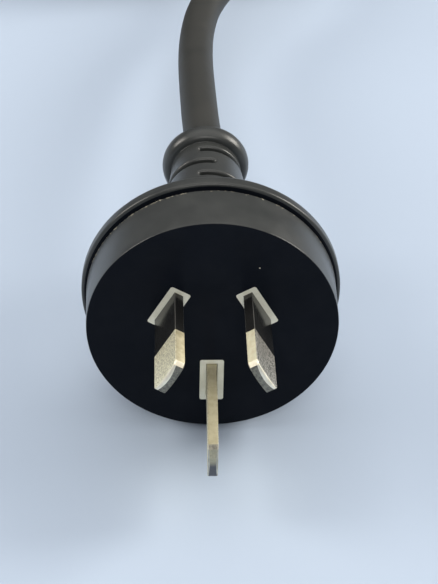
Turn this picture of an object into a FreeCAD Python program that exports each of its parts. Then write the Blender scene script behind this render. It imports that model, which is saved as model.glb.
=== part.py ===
import FreeCAD, Part
import math
import os

import Sketcher

# A moulded three-blade mains plug with its cord. Millimetres, +Z up, blades towards -Y.
# The plug lies on its flange, its axis level, with the cord put away in a tied hank behind it.
# Depths along the plug are measured back from its face, and heights from its axis.

doc = FreeCAD.newDocument("type_i_plug")
sheet = doc.addObject("Spreadsheet::Sheet", "Sizes")

SIZES = {
    # plug moulding, from the face back
    "face_radius": 19.8,
    "face_edge_round": 0.25,
    "drum_length": 9.5,
    "drum_flare": 0.25,
    "flange_step": 0.8,
    "flange_thickness": 2.8,
    "flange_front_round": 0.35,
    "flange_back_round": 1.2,
    "dome_step": 1.65,
    "dome_length": 4.7,
    "dome_drop": 2.6,
    "dome_round": 4.0,
    "grip_length": 7.0,
    "grip_round": 7.0,
    "neck_length": 22.0,
    "neck_wall": 2.6,
    "neck_flare": 2.3,
    "collar_length": 4.2,
    "collar_step": 1.6,
    "collar_front_round": 1.35,
    "collar_back_round": 2.0,
    # strain-relief slots
    "slot_lead": 5.55,
    "slot_tail": 2.5,
    "slot_width": 1.5,
    "slot_wall": 0.8,
    "slot_span": 206.0,
    "slot_end_round": 0.65,
    # blades
    "blade_width": 6.3,
    "blade_thickness": 1.6,
    "live_length": 17.5,
    "earth_length": 20.2,
    "live_circle": 7.92,
    "live_spread": 60.0,
    "live_lean": 30.0,
    "earth_circle": 10.31,
    "tip_bow": 0.75,
    "tip_chamfer": 0.32,
    "sleeve_length": 9.2,
    "sleeve_depth": 1.5,
    "sleeve_side_wall": 0.6,
    "sleeve_face_wall": 0.4,
    "blade_tail": 1.2,
    "crimp_length": 5.0,
    "crimp_wall": 0.6,
    # pin bridge
    "bridge_front": 3.0,
    "bridge_thickness": 4.0,
    "bridge_rim": 0.8,
    "live_boss_side": 0.95,
    "live_boss_end": 0.7,
    "earth_boss_side": 1.1,
    "earth_boss_end": 0.9,
    "boss_round": 0.35,
    "earth_slit": 0.12,
    "earth_slit_depth": 1.2,
    # cord
    "cord_diameter": 7.0,
    "conductor_diameter": 1.3,
    "core_wall": 0.7,
    "core_gap": 0.1,
    "core_straight": 3.0,
    "core_spread": 6.8,
    "lead_exit": 4.0,
    "lead_straight": 12.0,
    # hank
    "hank_across": -10.0,
    "hank_near": 144.5,
    "hank_entry_reach": 10.5,
    "hank_run": 50.6,
    "fold_radius": 21.0,
    "track_gap": 0.2,
    "layer_gap": 0.1,
    "strand_sink": 0.85,
    "strand_rise": 18.0,
    "tie_thickness": 0.8,
    "tie_width": 10.0,
    "tie_slack": 0.25,
    # appliance connector
    "nose_width": 24.0,
    "nose_height": 16.4,
    "nose_corner": 4.6,
    "nose_length": 19.0,
    "nose_root": 6.0,
    "nose_round": 0.5,
    "shell_side_wall": 1.5,
    "shell_top_wall": 1.8,
    "shell_cover": 2.8,
    "shell_round": 3.0,
    "boot_length": 18.0,
    "boot_wall": 1.5,
    "boot_flare": 1.6,
    "contact_spread": 7.0,
    "contact_offset": 2.0,
    "contact_front": 4.0,
    "contact_length": 14.0,
    "contact_wall": 0.5,
    "pin_slot_width": 2.6,
    "pin_slot_height": 4.6,
}
for row, (name, value) in enumerate(SIZES.items(), start=1):
    sheet.set(f"A{row}", name)
    sheet.set(f"B{row}", str(value))
    sheet.setAlias(f"B{row}", name)
doc.recompute()

# Counts of like features.
SLOTS = 4
HANK_LAYERS = 3

# Depths along the plug, as expressions of the sheet.
FLANGE_BACK = "(Sizes.drum_length + Sizes.flange_thickness)"
DOME_BACK = f"({FLANGE_BACK} + Sizes.dome_length)"
GRIP_BACK = f"({DOME_BACK} + Sizes.grip_length)"
COLLAR_START = f"({GRIP_BACK} + Sizes.neck_length)"
PLUG_LENGTH = f"({COLLAR_START} + Sizes.collar_length)"
BRIDGE_BACK = "(Sizes.bridge_front + Sizes.bridge_thickness)"
CRIMP_START = f"({BRIDGE_BACK} + Sizes.blade_tail)"
CRIMP_END = f"({CRIMP_START} + Sizes.crimp_length)"
CORES_LENGTH = "(2 * Sizes.core_straight + Sizes.core_spread)"
SHEATH_START = f"({CRIMP_END} + {CORES_LENGTH})"

# Radii that several pieces share.
CORD_RADIUS = "(Sizes.cord_diameter / 2)"
CORE_RADIUS = "(Sizes.conductor_diameter / 2 + Sizes.core_wall)"
CORE_CIRCLE = f"((2 * {CORE_RADIUS} + Sizes.core_gap) / sqrt(3))"
CRIMP_RADIUS = "(Sizes.conductor_diameter / 2 + Sizes.crimp_wall)"
DRUM_REAR_RADIUS = "(Sizes.face_radius + Sizes.drum_flare)"
FLANGE_RADIUS = f"({DRUM_REAR_RADIUS} + Sizes.flange_step)"
DOME_ROOT_RADIUS = f"({FLANGE_RADIUS} - Sizes.dome_step)"
DOME_RADIUS = f"({DOME_ROOT_RADIUS} - Sizes.dome_drop)"
NECK_END_RADIUS = f"({CORD_RADIUS} + Sizes.neck_wall)"
GRIP_RADIUS = f"({NECK_END_RADIUS} + Sizes.neck_flare)"
COLLAR_RADIUS = f"({NECK_END_RADIUS} + Sizes.collar_step)"

# The plug's place: blades and body lie evenly about the origin, and the flange stands on the floor.
FACE_PLACE = f"(-({PLUG_LENGTH} - Sizes.earth_length) / 2)"
AXIS_HEIGHT = FLANGE_RADIUS

TOLERANCE = 1e-4
# How much of the shorter run an arc of a cord's route takes at each of its ends.
ARC_SHARE = 0.45


def size(name):
    """One driving dimension, as the sheet holds it."""
    return float(sheet.get(name))


def plane(body, role):
    """The body's own origin plane of that role."""
    return next(f for f in body.Origin.OriginFeatures if f.Role == role)


def new_body(name, label=None):
    """An empty body; the label names its file where it is a piece by itself."""
    body = doc.addObject("PartDesign::Body", name)
    body.Label = label or name
    return body


def place(piece, across, back, up, lean=None):
    """Puts a body at a place, leaned about the Y axis, all bound to the sheet."""
    if lean:
        piece.Placement = FreeCAD.Placement(
            FreeCAD.Vector(), FreeCAD.Rotation(FreeCAD.Vector(0, 1, 0), 1)
        )
        piece.setExpression("Placement.Rotation.Angle", lean)
    for axis, expression in (("x", across), ("y", back), ("z", up)):
        piece.setExpression(f"Placement.Base.{axis}", expression)


def sketch_on(body, name, role, ahead=None, across=None, up=None, lean=None):
    """A sketch on an origin plane; on XZ_Plane, ahead is towards -Y."""
    sketch = body.newObject("Sketcher::SketchObject", name)
    sketch.AttachmentSupport = [(plane(body, role), "")]
    sketch.MapMode = "FlatFace"
    if lean:
        sketch.AttachmentOffset = FreeCAD.Placement(
            FreeCAD.Vector(), FreeCAD.Rotation(FreeCAD.Vector(0, 0, 1), 1)
        )
        sketch.setExpression("AttachmentOffset.Rotation.Angle", lean)
    for axis, expression in (("x", across), ("y", up), ("z", ahead)):
        if expression:
            sketch.setExpression(f"AttachmentOffset.Base.{axis}", expression)
    return sketch


def bind(sketch, constraint, name, expression):
    """Adds one dimension to a sketch, bound to the sheet."""
    index = sketch.addConstraint(constraint)
    sketch.renameConstraint(index, name)
    sketch.setExpression(f"Constraints.{name}", expression)


def outline(sketch, corners):
    """A closed outline of straight lines; each corner is a pair of expressions."""
    places = [
        FreeCAD.Vector(float(sketch.evalExpression(x)), float(sketch.evalExpression(y)), 0)
        for x, y in corners
    ]
    count = len(places)
    first = sketch.GeometryCount
    for i in range(count):
        sketch.addGeometry(Part.LineSegment(places[i], places[(i + 1) % count]), False)
    for i in range(count):
        following = first + (i + 1) % count
        sketch.addConstraint(Sketcher.Constraint("Coincident", first + i, 2, following, 1))
    for i, ((x, y), at) in enumerate(zip(corners, places)):
        for axis, line, expression, value in (("X", -2, x, at.x), ("Y", -1, y, at.y)):
            if expression == "0":
                sketch.addConstraint(
                    Sketcher.Constraint("PointOnObject", first + i, 1, line)
                )
            else:
                dimension = Sketcher.Constraint(f"Distance{axis}", -1, 1, first + i, 1, value)
                bind(sketch, dimension, f"corner_{axis}_{first + i}", expression)


def rectangle(sketch, width, height):
    """A rectangle about the sketch's origin."""
    right, top = f"({width}) / 2", f"({height}) / 2"
    left, bottom = f"-({width}) / 2", f"-({height}) / 2"
    outline(sketch, [(right, bottom), (right, top), (left, top), (left, bottom)])


def circle(sketch, radius):
    """A circle about the sketch's origin."""
    value = float(sketch.evalExpression(radius))
    index = sketch.addGeometry(
        Part.Circle(FreeCAD.Vector(), FreeCAD.Vector(0, 0, 1), value), False
    )
    sketch.addConstraint(Sketcher.Constraint("Coincident", index, 3, -1, 1))
    bind(sketch, Sketcher.Constraint("Radius", index, value), f"radius_{index}", radius)


def pad(body, name, sketch, length):
    """Extrudes a sketch ahead by a bound length."""
    feature = body.newObject("PartDesign::Pad", name)
    feature.Profile = sketch
    feature.setExpression("Length", length)
    sketch.Visibility = False
    doc.recompute()
    return feature


def revolve(body, name, sketch):
    """Turns a sketch on YZ_Plane about the Y axis."""
    feature = body.newObject("PartDesign::Revolution", name)
    feature.Profile = sketch
    feature.ReferenceAxis = (sketch, ["H_Axis"])
    feature.Angle = 360
    doc.recompute()
    return feature


def finish_edges(body, name, kind, key, chosen, value):
    """Finishes the tip feature's edges that the test chooses, by a bound value."""
    base = body.Tip
    names = [f"Edge{i}" for i, edge in enumerate(base.Shape.Edges, start=1) if chosen(edge)]
    if not names:
        raise RuntimeError(f"{name} finds no edge")
    feature = body.newObject(f"PartDesign::{kind}", name)
    feature.Base = (base, names)
    feature.setExpression(key, value)
    doc.recompute()
    if "Invalid" in feature.State:
        raise RuntimeError(f"{name} fails")
    return feature


def round_edges(body, name, chosen, radius):
    """Rounds the tip feature's edges that the test chooses."""
    return finish_edges(body, name, "Fillet", "Radius", chosen, radius)


def ring_at(depth, radius):
    """A test for the circular edge at a depth and radius of a turned body."""

    def chosen(edge):
        curve = edge.Curve
        return (
            isinstance(curve, Part.Circle)
            and abs(curve.Center.y - depth) < TOLERANCE
            and abs(curve.Radius - radius) < TOLERANCE
        )

    return chosen


def lengthwise(edge):
    """A test for the straight edges along Y."""
    return isinstance(edge.Curve, Part.Line) and abs(edge.Curve.Direction.y) > 1 - TOLERANCE


def number(expression):
    """An expression of the sheet, worked out."""
    return float(reckoner.evalExpression(expression))


def rounded_path(points):
    """Straight runs joined by tangent arcs, each as large as its two runs allow."""
    edges, radii = [], []
    here = points[0]
    for before, corner, after in zip(points, points[1:], points[2:]):
        run_in, run_out = corner - before, after - corner
        shorter = min(run_in.Length, run_out.Length)
        run_in.normalize()
        run_out.normalize()
        half_turn = run_in.getAngle(run_out) / 2
        reach = ARC_SHARE * shorter
        radius = reach / math.tan(half_turn)
        start, end = corner - run_in * reach, corner + run_out * reach
        inward = run_out - run_in
        inward.normalize()
        middle = corner + inward * (radius / math.cos(half_turn) - radius)
        edges.append(Part.LineSegment(here, start).toShape())
        edges.append(Part.Arc(start, middle, end).toShape())
        radii.append(radius)
        here = end
    edges.append(Part.LineSegment(here, points[-1]).toShape())
    return Part.Wire(edges), radii


def tube(path, start, ahead, radius):
    """A round solid along a path, with its volume tested against section times length."""
    section = Part.Wire([Part.Circle(start, ahead, radius).toShape()])
    solid = path.makePipeShell([section], True, True)
    if not isinstance(solid, Part.Solid):
        solid = solid.Solids[0]
    expected = math.pi * radius**2 * path.Length
    if abs(solid.Volume - expected) > 0.01 * expected:
        raise RuntimeError("a tube's volume is not its section times its length")
    return solid


def made_piece(name, shape):
    """A piece whose shape is made directly."""
    piece = doc.addObject("Part::Feature", name)
    piece.Label = name
    piece.Shape = shape
    return piece


reckoner = doc.addObject("App::FeaturePython", "Reckoner")

# Plug moulding: one turned form, with rounded edges and the neck's slots.
moulding = new_body("plug_moulding")
place(moulding, "0", FACE_PLACE, AXIS_HEIGHT)
profile = sketch_on(moulding, "moulding_profile", "YZ_Plane")
outline(
    profile,
    [
        ("0", "0"),
        ("0", "Sizes.face_radius"),
        ("Sizes.drum_length", DRUM_REAR_RADIUS),
        ("Sizes.drum_length", FLANGE_RADIUS),
        (FLANGE_BACK, FLANGE_RADIUS),
        (FLANGE_BACK, DOME_ROOT_RADIUS),
        (DOME_BACK, DOME_RADIUS),
        (GRIP_BACK, GRIP_RADIUS),
        (COLLAR_START, NECK_END_RADIUS),
        (COLLAR_START, COLLAR_RADIUS),
        (PLUG_LENGTH, COLLAR_RADIUS),
        (PLUG_LENGTH, "0"),
    ],
)
revolve(moulding, "moulding_turned", profile)
# Each rounding is limited by the wall or step that it rounds.
FLANGE_FRONT_ROUND = "min(Sizes.flange_front_round; 0.9 * Sizes.flange_step)"
FLANGE_BACK_ROUND = "min(Sizes.flange_back_round; 0.6 * Sizes.flange_thickness; 0.9 * Sizes.dome_step)"
COLLAR_FRONT_ROUND = "min(Sizes.collar_front_round; 0.85 * Sizes.collar_step)"
COLLAR_BACK_ROUND = "min(Sizes.collar_back_round; 0.5 * Sizes.collar_length)"
for name, depth, radius, rounding in (
    ("face_edge", "0", "Sizes.face_radius", "Sizes.face_edge_round"),
    ("flange_front", "Sizes.drum_length", FLANGE_RADIUS, FLANGE_FRONT_ROUND),
    ("flange_back", FLANGE_BACK, FLANGE_RADIUS, FLANGE_BACK_ROUND),
    ("dome", DOME_BACK, DOME_RADIUS, "Sizes.dome_round"),
    ("grip", GRIP_BACK, GRIP_RADIUS, "Sizes.grip_round"),
    ("collar_front", COLLAR_START, COLLAR_RADIUS, COLLAR_FRONT_ROUND),
    ("collar_back", PLUG_LENGTH, COLLAR_RADIUS, COLLAR_BACK_ROUND),
):
    round_edges(moulding, f"{name}_rounded", ring_at(number(depth), number(radius)), rounding)

SLOT_FLOOR = f"({CORD_RADIUS} + Sizes.slot_wall)"
SLOT_PITCH = f"(Sizes.neck_length - Sizes.slot_lead - Sizes.slot_tail) / {SLOTS - 1}"
for i in range(SLOTS):
    side = -1 if i % 2 == 0 else 1
    middle = f"({GRIP_BACK} + Sizes.slot_lead + {i} * {SLOT_PITCH})"
    front, back = f"{middle} - Sizes.slot_width / 2", f"{middle} + Sizes.slot_width / 2"
    inner, outer = f"{side} * {SLOT_FLOOR}", f"{side} * ({GRIP_RADIUS} + Sizes.slot_width)"
    slot_sketch = sketch_on(moulding, f"slot_{i}_sketch", "XY_Plane")
    outline(slot_sketch, [(inner, front), (outer, front), (outer, back), (inner, back)])
    groove = moulding.newObject("PartDesign::Groove", f"slot_{i}")
    groove.Profile = slot_sketch
    groove.ReferenceAxis = (slot_sketch, ["V_Axis"])
    groove.Midplane = True
    uncut = moulding.Shape.Volume
    groove.setExpression("Angle", "Sizes.slot_span")
    doc.recompute()
    if not moulding.Shape.Volume < uncut:
        raise RuntimeError(f"slot {i} cuts nothing")


def slot_end(edge):
    """A test for the straight radial edges where a slot ends."""
    if not isinstance(edge.Curve, Part.Line):
        return False
    depth = edge.CenterOfMass.y
    return abs(edge.Curve.Direction.y) < TOLERANCE and number(GRIP_BACK) < depth < number(COLLAR_START)


round_edges(
    moulding,
    "slot_ends_rounded",
    slot_end,
    "min(Sizes.slot_end_round; 0.45 * Sizes.slot_width)",
)


def cross_section(body, name, ahead, width, thickness):
    """A blade's section: thickness across, width upright, at a distance ahead of the face."""
    sketch = sketch_on(body, name, "XZ_Plane", ahead)
    rectangle(sketch, thickness, width)
    return sketch


def length_of_bar(body, name, start, end, width, thickness):
    """A straight bar between two distances ahead of the face."""
    section = cross_section(body, f"{name}_section", start, width, thickness)
    return pad(body, name, section, f"({end}) - ({start})")


SLEEVED_WIDTH = "(Sizes.blade_width - 2 * Sizes.sleeve_side_wall)"
SLEEVED_THICKNESS = "(Sizes.blade_thickness - 2 * Sizes.sleeve_face_wall)"
TIP_CHAMFER = "min(Sizes.tip_chamfer; 0.3 * Sizes.blade_thickness)"


def arched_bar(body, name, start, end):
    """A blade between two distances ahead of the face, its front end arched across its width."""
    sketch = sketch_on(body, f"{name}_plan", "YZ_Plane", "-Sizes.blade_thickness / 2")
    half = "Sizes.blade_width / 2"
    shoulder, back = f"-({end} - Sizes.tip_bow)", f"-({start})"
    outline(
        sketch, [(shoulder, f"-{half}"), (back, f"-{half}"), (back, half), (shoulder, half)]
    )
    lower_side, chord = 0, 3
    sketch.toggleConstruction(chord)
    bow = f"(({half})^2 + Sizes.tip_bow^2) / (2 * Sizes.tip_bow)"
    radius = float(sketch.evalExpression(bow))
    spread = math.asin(float(sketch.evalExpression(half)) / radius)
    middle = FreeCAD.Vector(radius - float(sketch.evalExpression(end)), 0, 0)
    whole = Part.Circle(middle, FreeCAD.Vector(0, 0, 1), radius)
    arch = sketch.addGeometry(
        Part.ArcOfCircle(whole, math.pi - spread, math.pi + spread), False
    )
    sketch.addConstraint(Sketcher.Constraint("Coincident", arch, 1, chord, 1))
    sketch.addConstraint(Sketcher.Constraint("Coincident", arch, 2, lower_side, 1))
    bind(sketch, Sketcher.Constraint("Radius", arch, radius), "arch_radius", bow)
    return pad(body, name, sketch, "Sizes.blade_thickness")


def arched(edge):
    """A test for the edges along an arched end."""
    return isinstance(edge.Curve, Part.Circle)


def blade(name, length, sleeved):
    """A blade with its arched and chamfered tip, its root through the bridge and its crimp."""
    body = new_body(name)
    width, thickness = "Sizes.blade_width", "Sizes.blade_thickness"
    bridge_back = f"-{BRIDGE_BACK}"
    arched_bar(body, f"{name}_bar", "Sizes.sleeve_length" if sleeved else bridge_back, length)
    finish_edges(body, f"{name}_tip_chamfered", "Chamfer", "Size", arched, TIP_CHAMFER)
    if sleeved:
        length_of_bar(
            body,
            f"{name}_sleeved",
            "-Sizes.sleeve_depth",
            "Sizes.sleeve_length",
            SLEEVED_WIDTH,
            SLEEVED_THICKNESS,
        )
        length_of_bar(body, f"{name}_root", bridge_back, "-Sizes.sleeve_depth", width, thickness)
    tail_start = f"-{CRIMP_START}"
    crimp_height = f"2 * {CRIMP_RADIUS}"
    length_of_bar(body, f"{name}_tail", tail_start, bridge_back, crimp_height, thickness)
    crimp(body, name, CRIMP_START)
    return body


def crimp(body, name, start):
    """A barrel behind a contact's tail, closed on its conductor."""
    sketch = sketch_on(body, f"{name}_crimp_section", "XZ_Plane", f"-({start}) - Sizes.crimp_length")
    circle(sketch, CRIMP_RADIUS)
    circle(sketch, "Sizes.conductor_diameter / 2")
    return pad(body, f"{name}_crimp", sketch, "Sizes.crimp_length")


# Blades: neutral on the left and active on the right as seen from the front, earth below.
LIVE_ACROSS = "Sizes.live_circle * sin(Sizes.live_spread)"
LIVE_UP = "Sizes.live_circle * cos(Sizes.live_spread)"
LIVE = (("neutral", "-", ""), ("active", "", "-"))
blades, sleeves = [], []
for name, side, lean_sign in LIVE:
    where = (f"{side}{LIVE_ACROSS}", FACE_PLACE, f"{AXIS_HEIGHT} + {LIVE_UP}")
    lean = f"{lean_sign}Sizes.live_lean"
    pin = blade(f"{name}_pin", "Sizes.live_length", True)
    place(pin, *where, lean)
    blades.append(pin)
    sleeve = new_body(f"{name}_sleeve")
    ring = sketch_on(sleeve, f"{name}_sleeve_section", "XZ_Plane", "-Sizes.sleeve_depth")
    rectangle(ring, "Sizes.blade_thickness", "Sizes.blade_width")
    rectangle(ring, SLEEVED_THICKNESS, SLEEVED_WIDTH)
    pad(sleeve, f"{name}_sleeve_pad", ring, "Sizes.sleeve_length + Sizes.sleeve_depth")
    place(sleeve, *where, lean)
    sleeves.append(sleeve)
earth_pin = blade("earth_pin", "Sizes.earth_length", False)
place(earth_pin, "0", FACE_PLACE, f"{AXIS_HEIGHT} - Sizes.earth_circle")
blades.append(earth_pin)

# Pin bridge: a disc behind the face, with a boss for each blade that ends flush in the face.
bridge_blank = new_body("bridge_blank")
place(bridge_blank, "0", FACE_PLACE, AXIS_HEIGHT)
disc = sketch_on(bridge_blank, "bridge_disc_section", "XZ_Plane", f"-{BRIDGE_BACK}")
circle(
    disc,
    "Sizes.earth_circle + Sizes.blade_width / 2 + Sizes.earth_boss_end + Sizes.bridge_rim",
)
pad(bridge_blank, "bridge_disc", disc, "Sizes.bridge_thickness")
BOSSES = (
    ("neutral", f"-{LIVE_ACROSS}", LIVE_UP, "-Sizes.live_lean", "live"),
    ("active", LIVE_ACROSS, LIVE_UP, "Sizes.live_lean", "live"),
    ("earth", "0", "-Sizes.earth_circle", None, "earth"),
)
for name, across, up, lean, kind in BOSSES:
    boss = sketch_on(
        bridge_blank, f"{name}_boss_section", "XZ_Plane", "-Sizes.bridge_front", across, up, lean
    )
    rectangle(
        boss,
        f"Sizes.blade_thickness + 2 * Sizes.{kind}_boss_side",
        f"Sizes.blade_width + 2 * Sizes.{kind}_boss_end",
    )
    pad(bridge_blank, f"{name}_boss", boss, "Sizes.bridge_front")
round_edges(bridge_blank, "boss_corners_rounded", lengthwise, "Sizes.boss_round")


def box(name, middle, front, up, width, length, height):
    """A box by the middle of its width and height and by its front face's Y."""
    piece = doc.addObject("Part::Box", name)
    for key, expression in (
        ("Length", width),
        ("Width", length),
        ("Height", height),
        ("Placement.Base.x", f"({middle}) - ({width}) / 2"),
        ("Placement.Base.y", front),
        ("Placement.Base.z", f"({up}) - ({height}) / 2"),
    ):
        piece.setExpression(key, expression)
    return piece


def joined(name, pieces):
    """Several solids as one."""
    whole = doc.addObject("Part::MultiFuse", name)
    whole.Shapes = pieces
    whole.Refine = True
    return whole


def cut(name, base, tool):
    """A piece with another taken out of it."""
    piece = doc.addObject("Part::Cut", name)
    piece.Label = name
    piece.Base = base
    piece.Tool = tool
    piece.Refine = True
    return piece


earth_slit = box(
    "earth_slit",
    "0",
    FACE_PLACE,
    f"{AXIS_HEIGHT} - Sizes.earth_circle",
    "Sizes.blade_thickness + 2 * Sizes.earth_slit",
    "Sizes.earth_slit_depth",
    "Sizes.blade_width + 2 * Sizes.earth_slit",
)
pin_bridge = cut("pin_bridge", bridge_blank, joined("bridge_holes", blades + sleeves + [earth_slit]))


def cord_round(name, across, start, up, length):
    """A straight length of the cord's sheath along Y."""
    piece = doc.addObject("Part::Cylinder", name)
    piece.Label = name
    piece.Placement = FreeCAD.Placement(
        FreeCAD.Vector(), FreeCAD.Rotation(FreeCAD.Vector(1, 0, 0), -90)
    )
    piece.setExpression("Radius", CORD_RADIUS)
    piece.setExpression("Height", length)
    for axis, expression in (("x", across), ("y", start), ("z", up)):
        piece.setExpression(f"Placement.Base.{axis}", expression)
    return piece


def core_and_conductor(prefix, points, crimp_back):
    """An insulated core along a path and its conductor, which runs on into a crimp."""
    path, _ = rounded_path(points)
    ahead = points[1] - points[0]
    bare = Part.LineSegment(points[-1], points[-1] - FreeCAD.Vector(0, crimp_back, 0)).toShape()
    wire = tube(Part.Wire(path.Edges + [bare]), points[0], ahead, size("conductor_diameter") / 2)
    skin = tube(path, points[0], ahead, number(CORE_RADIUS))
    hole = tube(path, points[0], ahead, size("conductor_diameter") / 2)
    return [
        made_piece(f"{prefix}_core", skin.cut(hole).Solids[0]),
        made_piece(f"{prefix}_conductor", wire),
    ]


def spread_cores(prefix, origin, ends, sheath_at, crimp_end):
    """Three cores from the sheath's end to their crimps; depths are measured back from the origin."""
    pieces = []
    straight = size("core_straight")
    bunched = number(CORE_CIRCLE)
    for name, (angle, across, up) in ends.items():
        turn = math.radians(angle)
        inner = FreeCAD.Vector(bunched * math.sin(turn), 0, bunched * math.cos(turn))
        outer = FreeCAD.Vector(across, 0, up)
        route = (
            (inner, sheath_at),
            (inner, sheath_at - straight),
            (outer, crimp_end + straight),
            (outer, crimp_end),
        )
        points = [origin + off_axis + FreeCAD.Vector(0, depth, 0) for off_axis, depth in route]
        pieces += core_and_conductor(f"{prefix}{name}", points, size("crimp_length"))
    return pieces


# Cores inside the plug, bunched in the sheath and spread to the three crimps.
doc.recompute()
plug_origin = FreeCAD.Vector(0, number(FACE_PLACE), number(AXIS_HEIGHT))
live_at = number(LIVE_ACROSS), number(LIVE_UP)
plug_cores = spread_cores(
    "",
    plug_origin,
    {
        "neutral": (-size("live_spread"), -live_at[0], live_at[1]),
        "active": (size("live_spread"), live_at[0], live_at[1]),
        "earth": (180, 0, -size("earth_circle")),
    },
    number(SHEATH_START),
    number(CRIMP_END),
)
cord_sheath_end = cord_round(
    "cord_sheath_end",
    "0",
    f"{FACE_PLACE} + {SHEATH_START}",
    AXIS_HEIGHT,
    f"{PLUG_LENGTH} - {SHEATH_START}",
)
plug_body = cut(
    "plug_body",
    moulding,
    joined("plug_filling", [bridge_blank, *blades, *plug_cores, cord_sheath_end]),
)

# Free lead from the collar to the hank. It sags a little between the two, clear of the floor.
TRACK_PITCH = "(Sizes.cord_diameter + Sizes.track_gap)"
LAYER_PITCH = "(Sizes.cord_diameter + Sizes.layer_gap)"
HANK_OUTER = f"(Sizes.fold_radius + {TRACK_PITCH} + {CORD_RADIUS})"
HANK_INNER = f"(Sizes.fold_radius - {CORD_RADIUS})"
NEAR_CENTRE = f"(Sizes.hank_near + {HANK_OUTER})"
FAR_CENTRE = f"({NEAR_CENTRE} + Sizes.hank_run)"
HANK_HEIGHT = f"(Sizes.cord_diameter + {HANK_LAYERS - 1} * {LAYER_PITCH})"
HANK_TOP = f"(Sizes.tie_thickness + {HANK_HEIGHT})"
ENTRY_ACROSS = f"(Sizes.hank_across + Sizes.fold_radius + {TRACK_PITCH})"
ENTRY_UP = f"({HANK_TOP} - {CORD_RADIUS})"
# Where the lead reaches the hank, short of the curve of its near end.
ENTRY_PLACE = "(Sizes.hank_near + Sizes.hank_entry_reach)"
lead_start = plug_origin + FreeCAD.Vector(0, number(PLUG_LENGTH), 0)
lead_end = FreeCAD.Vector(number(ENTRY_ACROSS), number(ENTRY_PLACE), number(ENTRY_UP))
lead_straight = FreeCAD.Vector(0, size("lead_straight"), 0)
LEAD_POINTS = [
    (-0.55, 48.0, 20.6),
    (-0.85, 62.0, 19.6),
    (-1.0, 77.5, 17.6),
    (-0.45, 92.0, 16.2),
    (1.6, 106.0, 15.7),
    (7.2, 119.0, 16.2),
    (14.6, 131.0, 17.4),
]
route = [
    lead_start,
    lead_start + FreeCAD.Vector(0, size("lead_exit"), 0),
    *(FreeCAD.Vector(*point) for point in LEAD_POINTS),
    lead_end - lead_straight,
    lead_end,
]
lead_path, lead_radii = rounded_path(route)
cord_lead = made_piece(
    "cord_lead", tube(lead_path, lead_start, lead_straight, number(CORD_RADIUS))
)
print("lead length", round(lead_path.Length, 1), "radii", [round(r, 1) for r in lead_radii])


# Hank: the outer shape of its turns, two tracks wide, with the entry of the lead and the strand
# that lies on top and runs round to the connector.
def stadium(name, radius, bottom, height):
    """A long round-ended block about the hank's middle line."""
    ends = []
    for end, middle in (("near", NEAR_CENTRE), ("far", FAR_CENTRE)):
        post = doc.addObject("Part::Cylinder", f"{name}_{end}")
        for key, expression in (
            ("Radius", radius),
            ("Height", height),
            ("Placement.Base.x", "Sizes.hank_across"),
            ("Placement.Base.y", middle),
            ("Placement.Base.z", bottom),
        ):
            post.setExpression(key, expression)
        ends.append(post)
    middle_up = f"({bottom}) + ({height}) / 2"
    run = box(
        f"{name}_run",
        "Sizes.hank_across",
        NEAR_CENTRE,
        middle_up,
        f"2 * ({radius})",
        "Sizes.hank_run",
        height,
    )
    return joined(name, [*ends, run])


hank_ring = cut(
    "hank_ring",
    stadium("hank_outside", HANK_OUTER, "Sizes.tie_thickness", HANK_HEIGHT),
    stadium("hank_hole", HANK_INNER, "0", f"{HANK_TOP} + Sizes.tie_thickness"),
)
hank_entry = cord_round(
    "hank_entry", ENTRY_ACROSS, ENTRY_PLACE, ENTRY_UP, f"{NEAR_CENTRE} - {ENTRY_PLACE}"
)

# The top strand climbs out of the inner track over the near end, lies in the groove between the
# two tracks, then climbs round the far end to the connector.
NOSE_BACK = "(Sizes.nose_length + Sizes.nose_root)"
CONTACT_CRIMP = f"({NOSE_BACK} + Sizes.blade_tail)"
CONTACT_CRIMP_END = f"({CONTACT_CRIMP} + Sizes.crimp_length)"
BOOT_SHEATH = f"({CONTACT_CRIMP_END} + {CORES_LENGTH})"
SHELL_BACK = f"({CONTACT_CRIMP_END} + Sizes.core_straight + Sizes.shell_cover)"
CONNECTOR_LENGTH = f"({SHELL_BACK} + Sizes.boot_length)"
SHELL_WIDTH = "(Sizes.nose_width + 2 * Sizes.shell_side_wall)"
SHELL_HEIGHT = "(Sizes.nose_height + 2 * Sizes.shell_top_wall)"
CONNECTOR_ACROSS = "(Sizes.hank_across - Sizes.fold_radius)"
CONNECTOR_UP = f"({HANK_TOP} + {SHELL_HEIGHT} / 2)"
CONNECTOR_BACK = f"({FAR_CENTRE} - Sizes.cord_diameter)"
CONNECTOR_FACE = f"({CONNECTOR_BACK} - {CONNECTOR_LENGTH})"
TURN_STEPS = 6
CLIMB_START, CLIMB_END = 0.08, 0.64


def fold_points(middle, radius, start_angle, heights):
    """Points of a half turn about a middle, spread so that the rounded path has that radius."""
    step = math.pi / TURN_STEPS
    reach = radius / math.cos(step / 2)
    points = []
    for i, height in enumerate(heights):
        angle = start_angle + (i + 0.5) * step
        off_middle = FreeCAD.Vector(reach * math.cos(angle), reach * math.sin(angle), height)
        points.append(middle + off_middle)
    return points


def climb(share):
    """How much of a climb is done, from 0 to 1, at a share of its half turn."""
    done = min(max((share - CLIMB_START) / (CLIMB_END - CLIMB_START), 0), 1)
    return done**2 * (3 - 2 * done)


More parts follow.
